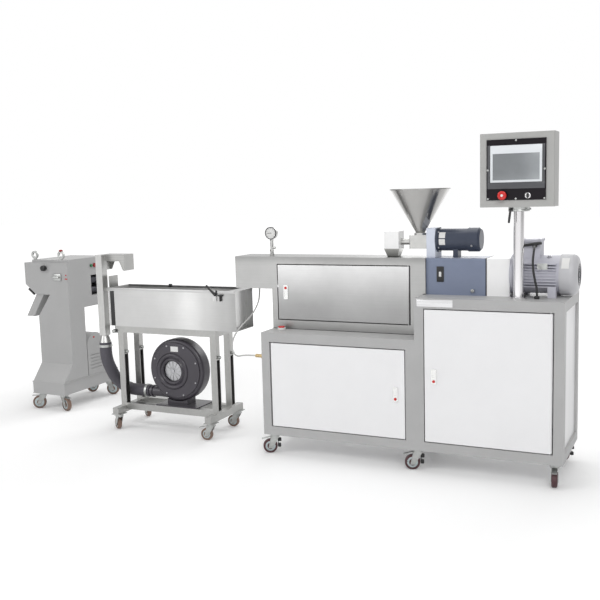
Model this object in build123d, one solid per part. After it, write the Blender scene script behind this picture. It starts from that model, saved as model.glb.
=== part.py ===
import os
from math import radians, tan

from build123d import *

# Laboratory pelletizing line: pelletizer, water bath with air knife and blower, small extruder.
# Millimetres. The stations are measured along the line from the extruder's left end (x),
# back from its front (y) and up from the floor (z). At the end everything is moved so that
# the middle of the whole line is at the origin.

# shares and turns
half_share = 0.5
quarter_turn = 90
full_turn = 360

# extruder base
castor_height = 105
base_length = 1500
base_depth = 460
low_height = 535
tall_height = 735
tube_width = 45
mid_post_left = 771
sheet = 3
panel_inset = 12
door_gap = 5
door_thick = 20
door_edge_radius = 10
hinge_pin_radius = 4
hinge_pin_grip = 12
running_clearance = 0.05
end_clearance = 0.3

# barrel guard
guard_setback = 140
guard_depth = 177
guard_overhang = 216
overhang_height = 168
guard_step_cover = 60
guard_wall = 3
guard_open_left = 31
guard_end_margin = 76
guard_open_low = 46
guard_open_margin = 37
guard_door_thick = 16
guard_door_edge = 8
hinge_block = 20
throat_hole = 56

# barrel and die
barrel_size = 84
barrel_flange = 112
barrel_flange_thick = 14
barrel_zones = 7
barrel_left = -96
die_length = 78
die_radius = 52
die_lip = 18
die_hole_radius = 2
die_hole_pitch = 12
die_hole_count = 5
shaft_height_share = 0.5

# pressure gauge
gauge_x = -39
gauge_radius = 32
gauge_depth = 26
gauge_rise = 118
gauge_stem_radius = 8
gauge_tap_rise = 40
gauge_tap_radius = 6
gauge_tap_length = 22

# drive train
gearbox_share = 0.394
gearbox_depth = 155
gearbox_front = 151
gearbox_height = 176
gearbox_foot = 14
gearbox_edge = 8
cover_plate = 6
coupling_share = 0.145
coupling_wall = 3
motor_body_radius = 88
motor_share = 0.284
motor_flange_radius = 92
motor_flange_thick = 14
motor_axis_height = 100
fin_count = 9
fin_pitch = 13
fin_thick = 4
fin_reach = 6
fin_end_gap = 12
motor_foot_width = 40
motor_foot_length = 36
motor_foot_height = 50
cowl_radius = 96
cowl_length = 78
cowl_round = 34
terminal_left = 26
terminal_length = 92
terminal_depth = 100
terminal_height = 68
terminal_lid = 12
terminal_lid_lap = 5
terminal_edge = 6

# feeder
feed_setback = 187
funnel_top_size = 80
funnel_low_size = 50
funnel_height = 41
funnel_wall = 2
drop_box_width = 76
drop_box_depth = 84
drop_box_height = 84
feeder_axis_rise = 74
feeder_motor_rise = 84
feeder_tube_radius = 16
feeder_reach = 90
feeder_body_length = 93
feeder_body_depth = 76
feeder_body_height = 66
feeder_collar_radius = 30
feeder_collar_height = 10
hopper_radius = 142
hopper_neck_radius = 22
hopper_height = 214
hopper_wall = 2
hopper_rim = 5
feeder_plate_thick = 43
feeder_plate_depth = 110
feeder_plate_height = 142
feeder_plate_edge = 6
feeder_motor_radius = 54
feeder_motor_length = 142
feeder_flange_radius = 60
feeder_flange_thick = 10
feeder_bell_radius = 58
feeder_bell_length = 60
feeder_bell_edge = 10
feeder_foot_setback = 81
feeder_foot_length = 24
feeder_foot_depth = 60

# control panel on its post
post_reach = 52
post_y = 96
post_radius = 24
post_base_radius = 36
post_base_thick = 8
panel_bottom = 1255
panel_width = 325
panel_height = 325
panel_depth = 122
panel_front = 36
panel_edge = 5
panel_flange_radius = 45
panel_flange_height = 20
bezel_width = 259
bezel_height = 266
bezel_rise = 31
bezel_left_inset = 31
bezel_thick = 4
screen_width = 226
screen_height = 162
screen_rise = 78
screen_inset = 16
screen_sunk = 2
stop_x = 104
stop_rise = 52
stop_radius = 20
stop_base_radius = 15
stop_base_depth = 14
stop_cap_depth = 14
stop_edge = 4
key_x = 214
key_rise = 50
key_radius = 13
key_depth = 10
key_bow_width = 6
key_bow_height = 22
lever_turn = 238
lever_hub_radius = 6
lever_hub_length = 15
lever_length = 62
lever_radius = 5
lever_lean = 10

# door locks
lock_inset = 45
lock_width = 25
lock_height = 74
lock_thick = 5
lock_edge = 6
lock_button_radius = 6
lock_button_out = 2
lock_button_shift = 22
lock_dish_height = 30
lock_dish_width = 15
lock_dish_deep = 2

# castors
base_wheel_radius = 37
base_wheel_width = 26
grey_wheel_radius = 34
grey_wheel_width = 24
pel_wheel_radius = 42
pel_wheel_width = 26
axle_radius = 6
wheel_hub_radius = 16
wheel_hub_recess = 4
wheel_edge = 5
fork_thick = 3
fork_gap = 1
fork_plate_thick = 4
fork_plate_size = 64
swivel_radius = 24
swivel_height = 12
fork_toe = 11
fork_share = 0.9
castor_trail = 26
castor_inset = 42
base_castor_turns = [28, 28, 18, 18, 97, 28]
bath_castor_turns = [-35, -35, 7, 7]
pel_castor_turns = [29, 250, 160, 200]
pedal_reach = 44
pedal_width = 22

# water bath
trough_left = -1076
trough_right = -233
trough_front = 155
trough_width = 195
trough_bottom = 604
trough_height = 222
trough_wall = 3
trough_end_recess = 45
leg_size = 38
leg_left = -1031
leg_right = -409
leg_inset = 8
rail_depth = 38
foot_bottom = 98
foot_height = 38
foot_front = 78
foot_back = 440
low_rail_bottom = 112
bath_castor_inset = 34
leg_sleeve_low = 437
leg_channel_wall = 4

# air knife
duct_left = -1142
duct_width = 44
duct_front = 135
duct_depth = 46
duct_bottom = 546
duct_top = 1016
duct_cone_height = 41
bracket_height = 20
hood_right = -972
hood_depth = 90
hood_height = 93
hood_wall = 3
notch_left = -1130
notch_top_left = -1104
notch_top_right = -1010
notch_right = -985
notch_height = 54
guide_thick = 4
guide_height = 66
guide_width = 80
guide_setback = 27

# blower and hose
blower_x = -668
blower_z = 355
blower_front = 205
blower_depth = 90
blower_radius = 180
blower_wall = 6
blower_edge = 18
blower_face_thick = 8
face_radius = 161
face_edge = 5
inlet_left = 20
inlet_drop = 6
inlet_radius = 60
inlet_lip = 12
face_ring_radius = 106
face_ring_sunk = 4
outlet_drop = 144
outlet_radius = 30
outlet_wall = 4
outlet_reach = 29
outlet_collar = 36
outlet_collar_length = 12
impeller_radius = 110
impeller_disc = 4
impeller_gap = 8
hub_radius = 24
shaft_radius = 8
shaft_hole_gap = 4
blade_count = 12
blade_thick = 3
blade_inner = 20
blower_motor_radius = 75
blower_motor_length = 150
blower_cap_radius = 78
blower_cap_length = 45
blower_base_left_reach = 119
blower_base_right_reach = 155
blower_base_thick = 6
saddle_left_reach = 66
saddle_right_reach = 66
saddle_height = 42
hose_radius = 35
hose_bore = 31
hose_turn_z = 400
hose_low_run = 223
hose_bend_share = 0.53
clamp_thick = 4
clamp_width = 14

# pelletizer
pel_left = -1849
pel_width = 256
pel_front = 319
pel_depth = 540
pel_bottom = 104
pel_base_height = 80
pel_lip = 5
column_front = 412
column_depth = 144
column_top = 735
flare_height = 105
column_cut_height = 142
column_cut_width = 103
head_top = 940
head_back = 800
head_low = 640
hood_left = -1943
hood_seam = -1729
hood_side_low = 800
hood_toe = -1861
hood_depth_pel = 250
cover_left = -1890
cover_height = 18
cover_inset = 16
feed_open_front = 636
feed_open_back = 760
feed_open_low = 708
feed_open_high = 842
feed_open_depth = 110
roll_radius = 27
roll_upper_radius = 30
roll_setback = 48
chute_left = -1862
chute_thick = 60
chute_shift = 92
chute_low = 590
chute_front = 418
chute_depth = 66
chute_wall = 2
drive_front = 562
drive_width = 164
drive_height = 278
drive_left = -1800
vent_count = 5
vent_pitch = 22
vent_height = 8
vent_deep = 4
vent_width = 110
vent_rise = 40
eye_first = -1880
eye_second = -1664
eye_y = 446
eye_radius = 26
eye_hole = 14
eye_thick = 12
eye_height = 30
eye_stem = 18

# pelletizer fittings
knob_x = -1775
knob_z = 906
knob_radius = 22
knob_depth = 26
knob_edge = 5
latch_left = -1707
latch_right = -1643
latch_low = 827
latch_high = 871
latch_thick = 8
latch_edge = 6
latch_grip_out = 14
latch_grip_height = 14
grip_radius = 7
grip_standoff = 24
grip_length = 58
push_radius = 11
push_out = 10
push_y = 642
push_gap = 44
push_z = 904

# leads: a sensor under the die to the base, and the motor's lead to the top plate
lead_radius = 4
motor_lead_radius = 5
lead_share = 0.45
sensor_x = -122
sensor_radius = 7
sensor_length = 30
gland_radius = 9
gland_nut_radius = 13
gland_nut = 10
post_gland_y = 22
post_gland_z = 512
post_gland_out = 45
box_gland_shift = 70
box_gland_drop = 29
box_gland_out = 20
plate_gland_y = 92
plate_gland_right = 24
plate_gland_out = 12
sensor_route_shares = [(0, 0, 0.15), (-0.08, 0.1, 0.3), (-0.39, 0.245, 0.463), (-1.01, 0.41, 0.62),
                       (-1.455, 0.535, 0.796), (-1.377, 0.68, 0.97), (-0.753, 0.855, 1.062), (0.13, 1, 1)]
motor_route_shares = [(0, 0.67, 0), (-0.15, 1.18, 0.095), (-0.35, 1.39, 0.27), (-0.1, 1.36, 0.485),
                      (0.5, 1.15, 0.68), (1, 1, 0.85)]

# levels that follow
guard_right = mid_post_left + guard_step_cover
guard_open_right = guard_right - guard_end_margin
feed_x = guard_right - feed_setback
feeder_body_left = feed_x + feeder_reach
tall_length = base_length - mid_post_left
gearbox_left = guard_right
gearbox_length = tall_length * gearbox_share
coupling_length = tall_length * coupling_share
motor_body_length = tall_length * motor_share
low_top = castor_height + low_height
tall_top = castor_height + tall_height
guard_back = guard_setback + guard_depth
guard_top = tall_top + gearbox_height
guard_height = guard_top - low_top
guard_open_high = guard_height - guard_open_margin
guard_mid = guard_setback + guard_depth * half_share
overhang_low = guard_top - overhang_height
mid_join = mid_post_left + tube_width
mid_post_right = mid_join + tube_width
shaft_z = tall_top + gearbox_height * shaft_height_share
gearbox_right = gearbox_left + gearbox_length
gearbox_back = gearbox_front + gearbox_depth
coupling_left = gearbox_right + cover_plate
coupling_right = coupling_left + coupling_length
motor_mid = gearbox_front + gearbox_depth * half_share
motor_z = tall_top + motor_axis_height
motor_end = coupling_right + motor_flange_thick + motor_body_length
line_right = motor_end + cowl_length
feeder_z = guard_top + feeder_axis_rise
feeder_motor_z = guard_top + feeder_motor_rise
plate_left = feeder_body_left + feeder_body_length
plate_right = plate_left + feeder_plate_thick
feeder_foot_x = plate_right + feeder_foot_setback
post_x = coupling_right + post_reach
inlet_x = blower_x - inlet_left
inlet_z = blower_z - inlet_drop
outlet_z = blower_z - outlet_drop
outlet_end = blower_x - blower_radius - outlet_reach
hose_low_x = outlet_end - hose_low_run
leg_top = trough_bottom
trough_top = trough_bottom + trough_height
trough_back = trough_front + trough_width
pel_right = pel_left + pel_width
pel_back = pel_front + pel_depth
pel_base_top = pel_bottom + pel_base_height
chute_tip = chute_left - chute_shift
line_left = min(chute_tip, hood_left)
line_front = 0
line_back = max(pel_back, base_depth)
shift_x = -(line_left + line_right) * half_share
shift_y = -(line_front + line_back) * half_share

os.makedirs("parts", exist_ok=True)


def save(name, shape):
    export_step(Pos(shift_x, shift_y, 0) * shape, "parts/" + name + ".step")


def block(x0, x1, y0, y1, z0, z1):
    low = (Align.MIN, Align.MIN, Align.MIN)
    return Pos(x0, y0, z0) * Box(x1 - x0, y1 - y0, z1 - z0, align=low)


def rod_z(x, y, z0, z1, radius):
    low = (Align.CENTER, Align.CENTER, Align.MIN)
    return Pos(x, y, z0) * Cylinder(radius, z1 - z0, align=low)


def rod_x(x0, x1, y, z, radius):
    low = (Align.CENTER, Align.CENTER, Align.MIN)
    return Pos(x0, y, z) * Rot(0, quarter_turn, 0) * Cylinder(radius, x1 - x0, align=low)


def rod_y(x, y0, y1, z, radius):
    low = (Align.CENTER, Align.CENTER, Align.MIN)
    return Pos(x, y0, z) * Rot(-quarter_turn, 0, 0) * Cylinder(radius, y1 - y0, align=low)


def side_prism(points, y0, y1):
    plane = Plane(origin=(0, y1, 0), x_dir=(1, 0, 0), z_dir=(0, -1, 0))
    return extrude(plane * make_face(Polyline(*points, close=True)), amount=y1 - y0)


def end_prism(points, x0, x1):
    plane = Plane(origin=(x0, 0, 0), x_dir=(0, 1, 0), z_dir=(1, 0, 0))
    return extrude(plane * make_face(Polyline(*points, close=True)), amount=x1 - x0)


def turned(points):
    return revolve(Plane.XZ * make_face(Polyline(*points, close=True)), axis=Axis.Z)


def turned_x(points, x, y, z):
    return Pos(x, y, z) * Rot(0, quarter_turn, 0) * turned(points)


def group(solids):
    return Compound(children=list(solids))


# frame of the extruder base
def base_posts():
    low_end = low_top - sheet
    tall_end = tall_top - sheet
    back = base_depth - tube_width
    right = base_length - tube_width
    solids = []
    for y in (0, back):
        solids.append(block(0, tube_width, y, y + tube_width, castor_height, low_end))
        solids.append(block(mid_post_left, mid_join, y, y + tube_width, castor_height, low_end))
        solids.append(block(mid_join, mid_post_right, y, y + tube_width, castor_height, tall_end))
        solids.append(block(right, base_length, y, y + tube_width, castor_height, tall_end))
    return group(solids)


def base_rails():
    back = base_depth - tube_width
    right = base_length - tube_width
    low_end = low_top - sheet
    tall_end = tall_top - sheet
    foot = castor_height + tube_width
    solids = []
    for y in (0, back):
        for x0, x1, end in ((tube_width, mid_post_left, low_end), (mid_post_right, right, tall_end)):
            solids.append(block(x0, x1, y, y + tube_width, castor_height, foot))
            solids.append(block(x0, x1, y, y + tube_width, end - tube_width, end))
    spans = ((0, tube_width, low_end), (mid_post_left, mid_join, low_end),
             (mid_join, mid_post_right, tall_end), (right, base_length, tall_end))
    for x0, x1, end in spans:
        solids.append(block(x0, x1, tube_width, back, castor_height, foot))
        solids.append(block(x0, x1, tube_width, back, end - tube_width, end))
    return group(solids)


def base_top_plates():
    low = block(0, mid_join, 0, base_depth, low_top - sheet, low_top)
    tall = block(mid_join, base_length, 0, base_depth, tall_top - sheet, tall_top)
    return group([low, tall])


def base_panels():
    back = base_depth - tube_width
    right = base_length - tube_width
    low_end = low_top - sheet - tube_width
    tall_end = tall_top - sheet - tube_width
    foot = castor_height + tube_width
    rear = base_depth - panel_inset
    solids = []
    for x0, x1, end in ((tube_width, mid_post_left, low_end), (mid_post_right, right, tall_end)):
        solids.append(block(x0, x1, rear - sheet, rear, foot, end))
        solids.append(block(x0, x1, tube_width, back, castor_height + panel_inset,
                            castor_height + panel_inset + sheet))
    end_wall = base_length - panel_inset
    step_wall = mid_join + panel_inset
    solids.append(block(panel_inset, panel_inset + sheet, tube_width, back, foot, low_end))
    solids.append(block(end_wall - sheet, end_wall, tube_width, back, foot, tall_end))
    solids.append(block(step_wall, step_wall + sheet, tube_width, back, foot, tall_end))
    return group(solids)


# doors: the hinge edge is rounded about the pin, with blind holes for the pins
def door_leaf(x0, x1, y0, z0, z1, thick, edge, hinge_x):
    if hinge_x < (x0 + x1) * half_share:
        leaf = block(x0 + edge, x1, y0, y0 + thick, z0, z1)
    else:
        leaf = block(x0, x1 - edge, y0, y0 + thick, z0, z1)
    leaf = leaf + rod_z(hinge_x, y0 + edge, z0, z1, edge)
    deep = hinge_pin_grip + end_clearance
    bore = hinge_pin_radius + running_clearance
    leaf = leaf - rod_z(hinge_x, y0 + edge, z0, z0 + deep, bore)
    leaf = leaf - rod_z(hinge_x, y0 + edge, z1 - deep, z1, bore)
    return leaf


def pan(leaf, x0, x1, y0, y1, z0, z1):
    return leaf - block(x0, x1, y0, y1, z0, z1)


door_low = castor_height + tube_width + door_gap
low_door_top = low_top - sheet - tube_width - door_gap
tall_door_top = tall_top - sheet - tube_width - door_gap
low_door_left = tube_width + door_gap
low_door_right = mid_post_left - door_gap
tall_door_left = mid_post_right + door_gap
tall_door_right = base_length - tube_width - door_gap
low_hinge_x = low_door_left + door_edge_radius
tall_hinge_x = tall_door_right - door_edge_radius
door_rim = 30
door_skin = 4


def low_door():
    leaf = door_leaf(low_door_left, low_door_right, 0, door_low, low_door_top,
                     door_thick, door_edge_radius, low_hinge_x)
    return pan(leaf, low_door_left + door_rim, low_door_right - door_rim, door_skin, door_thick,
               door_low + door_rim, low_door_top - door_rim)


def tall_door():
    leaf = door_leaf(tall_door_left, tall_door_right, 0, door_low, tall_door_top,
                     door_thick, door_edge_radius, tall_hinge_x)
    return pan(leaf, tall_door_left + door_rim, tall_door_right - door_rim, door_skin, door_thick,
               door_low + door_rim, tall_door_top - door_rim)


guard_door_left = guard_open_left + door_gap
guard_door_right = guard_open_right - door_gap
guard_door_low = low_top + guard_open_low + door_gap
guard_door_top = low_top + guard_open_high - door_gap
guard_hinge_x = guard_door_right - guard_door_edge
guard_hinge_y = guard_setback + guard_door_edge


def guard_door():
    leaf = door_leaf(guard_door_left, guard_door_right, guard_setback, guard_door_low,
                     guard_door_top, guard_door_thick, guard_door_edge, guard_hinge_x)
    return pan(leaf, guard_door_left + door_rim, guard_door_right - door_rim,
               guard_setback + door_skin, guard_setback + guard_door_thick,
               guard_door_low + door_rim, guard_door_top - door_rim)


def door_hinge_pins():
    solids = []
    for x, top in ((low_hinge_x, low_door_top), (tall_hinge_x, tall_door_top)):
        solids.append(rod_z(x, door_edge_radius, door_low - door_gap, door_low + hinge_pin_grip,
                            hinge_pin_radius))
        solids.append(rod_z(x, door_edge_radius, top - hinge_pin_grip, top + door_gap,
                            hinge_pin_radius))
    inner = guard_setback + guard_wall
    left = guard_hinge_x - guard_door_edge
    low = guard_door_low - door_gap
    top = guard_door_top + door_gap
    for z0, z1, p0, p1 in ((low - hinge_block, low, low - guard_wall, guard_door_low + hinge_pin_grip),
                           (top, top + hinge_block, guard_door_top - hinge_pin_grip, top + guard_wall)):
        lug = block(left, left + hinge_block, inner, inner + hinge_block, z0, z1)
        solids.append(lug + rod_z(guard_hinge_x, guard_hinge_y, p0, p1, hinge_pin_radius))
    return group(solids)


# barrel guard: bent sheet over the barrel, standing on the low top and the step
def barrel_guard():
    outer = side_prism([(-guard_overhang, overhang_low), (0, overhang_low), (0, low_top),
                        (mid_join, low_top), (mid_join, tall_top), (guard_right, tall_top),
                        (guard_right, guard_top), (-guard_overhang, guard_top)],
                       guard_setback, guard_back)
    front = guard_setback + guard_wall
    back = guard_back - guard_wall
    roof = guard_top - guard_wall
    inner = side_prism([(guard_wall - guard_overhang, overhang_low), (guard_wall, overhang_low),
                        (guard_wall, low_top), (mid_join, low_top), (mid_join, tall_top),
                        (guard_right, tall_top), (guard_right, roof),
                        (guard_wall - guard_overhang, roof)], front, back)
    shell = outer - inner
    shell = shell - block(guard_open_left, guard_open_right, guard_setback, front,
                          low_top + guard_open_low, low_top + guard_open_high)
    hole = throat_hole * half_share
    shell = shell - block(feed_x - hole, feed_x + hole, guard_mid - hole, guard_mid + hole,
                          roof, guard_top)
    return shell


# barrel in flanged zones, bolted to the gearbox face
def barrel():
    core = barrel_size * half_share
    wide = barrel_flange * half_share
    body = block(barrel_left, gearbox_left, guard_mid - core, guard_mid + core,
                 shaft_z - core, shaft_z + core)
    pitch = (gearbox_left - barrel_left - barrel_flange_thick) / barrel_zones
    for i in range(barrel_zones + 1):
        x = barrel_left + i * pitch
        body = body + block(x, x + barrel_flange_thick, guard_mid - wide, guard_mid + wide,
                            shaft_z - wide, shaft_z + wide)
    return body


def die_head():
    lip = die_lip
    points = [(0, 0), (die_radius, 0), (die_radius, die_length - lip), (die_radius - lip, die_length),
              (0, die_length)]
    x = barrel_left - die_length
    body = turned_x([(r, die_length - h) for r, h in points], x, guard_mid, shaft_z)
    first = -(die_hole_count - 1) * half_share * die_hole_pitch
    for i in range(die_hole_count):
        y = guard_mid + first + i * die_hole_pitch
        body = body - rod_x(x, x + die_lip, y, shaft_z, die_hole_radius)
    return body


def pressure_gauge():
    z = guard_top + gauge_rise
    front = guard_mid - gauge_depth * half_share
    stem = rod_z(gauge_x, guard_mid, guard_top, z, gauge_stem_radius)
    nut = rod_z(gauge_x, guard_mid, guard_top, guard_top + gauge_stem_radius,
                gauge_stem_radius + gauge_stem_radius * half_share)
    case = rod_y(gauge_x, front, front + gauge_depth, z, gauge_radius)
    face = rod_y(gauge_x, front, front + sheet, z, gauge_radius - sheet)
    tap = rod_x(gauge_x, gauge_x + gauge_tap_length, guard_mid, guard_top + gauge_tap_rise, gauge_tap_radius)
    return stem + nut + tap + case - face


# drive: gearbox, coupling hood, motor
def gearbox():
    body = block(gearbox_left, gearbox_right, gearbox_front, gearbox_back, tall_top + gearbox_foot,
                 tall_top + gearbox_height)
    body = fillet(body.edges().filter_by(Axis.X), gearbox_edge)
    foot = block(gearbox_left, gearbox_right, gearbox_front, gearbox_back, tall_top,
                 tall_top + gearbox_foot + gearbox_edge)
    strip = block(gearbox_right, coupling_left, gearbox_front, gearbox_back, tall_top,
                  tall_top + gearbox_height)
    return body + foot + strip


def coupling_guard():
    wall = coupling_wall
    top = tall_top + gearbox_height
    outer = block(coupling_left, coupling_right, gearbox_front, gearbox_back, tall_top, top)
    inner = block(coupling_left + wall, coupling_right - wall, gearbox_front + wall,
                  gearbox_back - wall, tall_top, top - wall)
    return outer - inner


def main_motor():
    x0 = coupling_right
    x1 = x0 + motor_flange_thick
    body = rod_x(x0, x1, motor_mid, motor_z, motor_flange_radius)
    body = body + rod_x(x1, motor_end, motor_mid, motor_z, motor_body_radius)
    first = -(fin_count - 1) * half_share * fin_pitch
    reach = motor_body_radius + fin_reach
    for i in range(fin_count):
        z = motor_z + first + i * fin_pitch
        body = body + block(x1 + fin_end_gap, motor_end - fin_end_gap, motor_mid - reach,
                            motor_mid + reach, z, z + fin_thick)
    for x in (x1 + fin_end_gap, motor_end - fin_end_gap - motor_foot_length):
        for y in (motor_mid - reach, motor_mid + reach - motor_foot_width):
            body = body + block(x, x + motor_foot_length, y, y + motor_foot_width, tall_top,
                                tall_top + motor_foot_height)
    left = x1 + terminal_left
    deep = terminal_depth * half_share
    top = motor_z + cowl_radius + terminal_height
    body = body + block(left, left + terminal_length, motor_mid - deep, motor_mid + deep, motor_z, top)
    lap = terminal_lid_lap
    lid = block(left - lap, left + terminal_length + lap, motor_mid - deep - lap, motor_mid + deep + lap,
                top - terminal_lid, top)
    return body + fillet(lid.edges().filter_by(Axis.Z), terminal_edge)


def motor_cowl():
    body = rod_x(motor_end, motor_end + cowl_length, motor_mid, motor_z, cowl_radius)
    return fillet(body.edges().filter_by(GeomType.CIRCLE).group_by(Axis.X)[-1], cowl_round)


# feeder: drop box and funnel over the barrel's feed throat, screw body, hopper, motor
def square(x, y, z, size):
    return Plane(origin=(x, y, z)) * Rectangle(size, size)


def feed_funnel():
    low = guard_top
    top = low + funnel_height
    barrel_top = shaft_z + barrel_size * half_share
    thin = funnel_wall + funnel_wall
    outer = loft([square(feed_x, guard_mid, low, funnel_low_size),
                  square(feed_x, guard_mid, top, funnel_top_size)])
    inner = loft([square(feed_x, guard_mid, low, funnel_low_size - thin),
                  square(feed_x, guard_mid, top, funnel_top_size - thin)])
    side = funnel_low_size * half_share
    bore = side - funnel_wall
    spout = block(feed_x - side, feed_x + side, guard_mid - side, guard_mid + side, barrel_top, low)
    hole = block(feed_x - bore, feed_x + bore, guard_mid - bore, guard_mid + bore, barrel_top, low)
    return outer + spout - inner - hole


def drop_box():
    wide = drop_box_width * half_share
    deep = drop_box_depth * half_share
    z0 = guard_top + funnel_height
    z1 = z0 + drop_box_height
    wall = funnel_wall
    outer = block(feed_x - wide, feed_x + wide, guard_mid - deep, guard_mid + deep, z0, z1)
    inner = block(feed_x - wide + wall, feed_x + wide - wall, guard_mid - deep + wall,
                  guard_mid + deep - wall, z0, z1 - wall)
    inlet = rod_x(feed_x, feed_x + drop_box_width, guard_mid, feeder_z, feeder_tube_radius - wall)
    return outer - inner - inlet


def feeder_body():
    deep = feeder_body_depth * half_share
    low = feeder_z - feeder_body_height * half_share
    top = low + feeder_body_height
    mid = feeder_body_left + feeder_body_length * half_share
    body = block(feeder_body_left, plate_left, guard_mid - deep, guard_mid + deep, low, top)
    body = fillet(body.edges().filter_by(Axis.Z), gearbox_edge)
    body = body + rod_z(mid, guard_mid, top, top + feeder_collar_height, feeder_collar_radius)
    body = body + rod_x(feed_x + drop_box_width * half_share, feeder_body_left, guard_mid, feeder_z,
                        feeder_tube_radius)
    body = body - rod_x(feed_x + drop_box_width * half_share, feeder_body_left, guard_mid, feeder_z,
                        feeder_tube_radius - funnel_wall)
    body = body - rod_z(mid, guard_mid, feeder_z, top + feeder_collar_height,
                        hopper_neck_radius - hopper_wall)
    return body


def hopper():
    z0 = feeder_z + feeder_body_height * half_share + feeder_collar_height
    mid = feeder_body_left + feeder_body_length * half_share
    wall = hopper_wall
    points = [(hopper_neck_radius, 0), (hopper_radius, hopper_height - hopper_rim),
              (hopper_radius + hopper_rim, hopper_height - hopper_rim),
              (hopper_radius + hopper_rim, hopper_height), (hopper_radius - wall, hopper_height),
              (hopper_radius - wall, hopper_height - hopper_rim), (hopper_neck_radius - wall, 0)]
    return Pos(mid, guard_mid, z0) * turned(points)


def feeder_plate():
    deep = feeder_plate_depth * half_share
    body = block(plate_left, plate_right, guard_mid - deep, guard_mid + deep, guard_top,
                 guard_top + feeder_plate_height)
    return fillet(body.edges().filter_by(Axis.X).group_by(Axis.Z)[-1], feeder_plate_edge)


def feeder_motor():
    flange = plate_right + feeder_flange_thick
    end = plate_right + feeder_flange_thick + feeder_motor_length
    body = rod_x(plate_right, flange, guard_mid, feeder_motor_z, feeder_flange_radius)
    body = body + rod_x(flange, end, guard_mid, feeder_motor_z, feeder_motor_radius)
    bell = [(0, 0), (feeder_bell_radius, 0), (feeder_bell_radius, feeder_bell_length - feeder_bell_edge),
            (feeder_bell_radius - feeder_bell_edge, feeder_bell_length), (0, feeder_bell_length)]
    body = body + turned_x(bell, end, guard_mid, feeder_motor_z)
    deep = feeder_foot_depth * half_share
    body = body + block(feeder_foot_x, feeder_foot_x + feeder_foot_length, guard_mid - deep,
                        guard_mid + deep, guard_top, feeder_motor_z)
    return body


# control panel, swivelling on its post
def panel_post():
    base = rod_z(post_x, post_y, tall_top, tall_top + post_base_thick, post_base_radius)
    return base + rod_z(post_x, post_y, tall_top, panel_bottom - end_clearance, post_radius)


panel_left = post_x - panel_width * half_share


def control_panel():
    box = block(panel_left, panel_left + panel_width, panel_front, panel_front + panel_depth,
                panel_bottom, panel_bottom + panel_height)
    box = fillet(box.edges().filter_by(Axis.Z), panel_edge)
    low = panel_bottom - panel_flange_height
    ring = rod_z(post_x, post_y, low, panel_bottom, panel_flange_radius)
    ring = ring - rod_z(post_x, post_y, low, panel_bottom, post_radius + running_clearance)
    return box + ring


def panel_bezel():
    x0 = panel_left + bezel_left_inset
    z0 = panel_bottom + bezel_rise
    y0 = panel_front - bezel_thick
    plate = block(x0, x0 + bezel_width, y0, panel_front, z0, z0 + bezel_height)
    s0 = x0 + screen_inset
    t0 = z0 + screen_rise
    return plate - block(s0, s0 + screen_width, y0, y0 + screen_sunk, t0, t0 + screen_height)


def stop_button():
    x = panel_left + stop_x
    z = panel_bottom + stop_rise
    y = panel_front - bezel_thick
    cap = rod_y(x, y - stop_base_depth - stop_cap_depth, y - stop_base_depth, z, stop_radius)
    cap = fillet(cap.edges().filter_by(GeomType.CIRCLE), stop_edge)
    return cap + rod_y(x, y - stop_base_depth, y, z, stop_base_radius)


def key_switch():
    x = panel_left + key_x
    z = panel_bottom + key_rise
    y = panel_front - bezel_thick
    wide = key_bow_width * half_share
    tall = key_bow_height * half_share
    bow = block(x - wide, x + wide, y - key_depth - key_depth, y - key_depth, z - tall, z + tall)
    return rod_y(x, y - key_depth, y, z, key_radius) + bow


def clamp_lever():
    ring = panel_flange_radius
    end = ring + lever_hub_length
    arm_x = end - lever_hub_radius
    hub = rod_x(ring, end, 0, 0, lever_hub_radius)
    arm = Pos(arm_x, 0, 0) * Rot(0, -lever_lean, 0) * rod_z(0, 0, -lever_length, 0, lever_radius)
    tip = Pos(arm_x, 0, 0) * Rot(0, -lever_lean, 0) * Pos(0, 0, -lever_length) * Sphere(lever_hub_radius)
    z = panel_bottom - panel_flange_height * half_share
    return Pos(post_x, post_y, z) * Rot(0, 0, lever_turn) * (hub + arm + tip)


def panel_controls():
    return group([stop_button(), key_switch(), clamp_lever()])


# door locks: flat body with a dished grip and a push button
def door_lock(x, y, z, way):
    wide = lock_width * half_share
    tall = lock_height * half_share
    front = y - lock_thick
    body = block(x - wide, x + wide, front, y, z - tall, z + tall)
    body = fillet(body.edges().filter_by(Axis.Y), lock_edge)
    dish = lock_dish_width * half_share
    middle = z - way * lock_button_shift * half_share
    reach = lock_dish_height * half_share
    body = body - block(x - dish, x + dish, front, front + lock_dish_deep, middle - reach, middle + reach)
    button_z = z + way * lock_button_shift
    return body + rod_y(x, front - lock_button_out, front, button_z, lock_button_radius)


def low_door_lock():
    return door_lock(low_door_right - lock_inset, 0, (door_low + low_door_top) * half_share, -1)


def tall_door_lock():
    return door_lock(tall_door_left + lock_inset, 0, (door_low + tall_door_top) * half_share, -1)


def guard_door_lock():
    middle = (guard_door_low + guard_door_top) * half_share
    return door_lock(guard_door_left + lock_inset, guard_setback, middle, 1)


# castors: fork with swivel head and axle, wheel on the axle
def swivelled(shape, x, y, turn):
    return Pos(x, y, 0) * Rot(0, 0, turn) * Pos(-x, -y, 0) * shape


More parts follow.
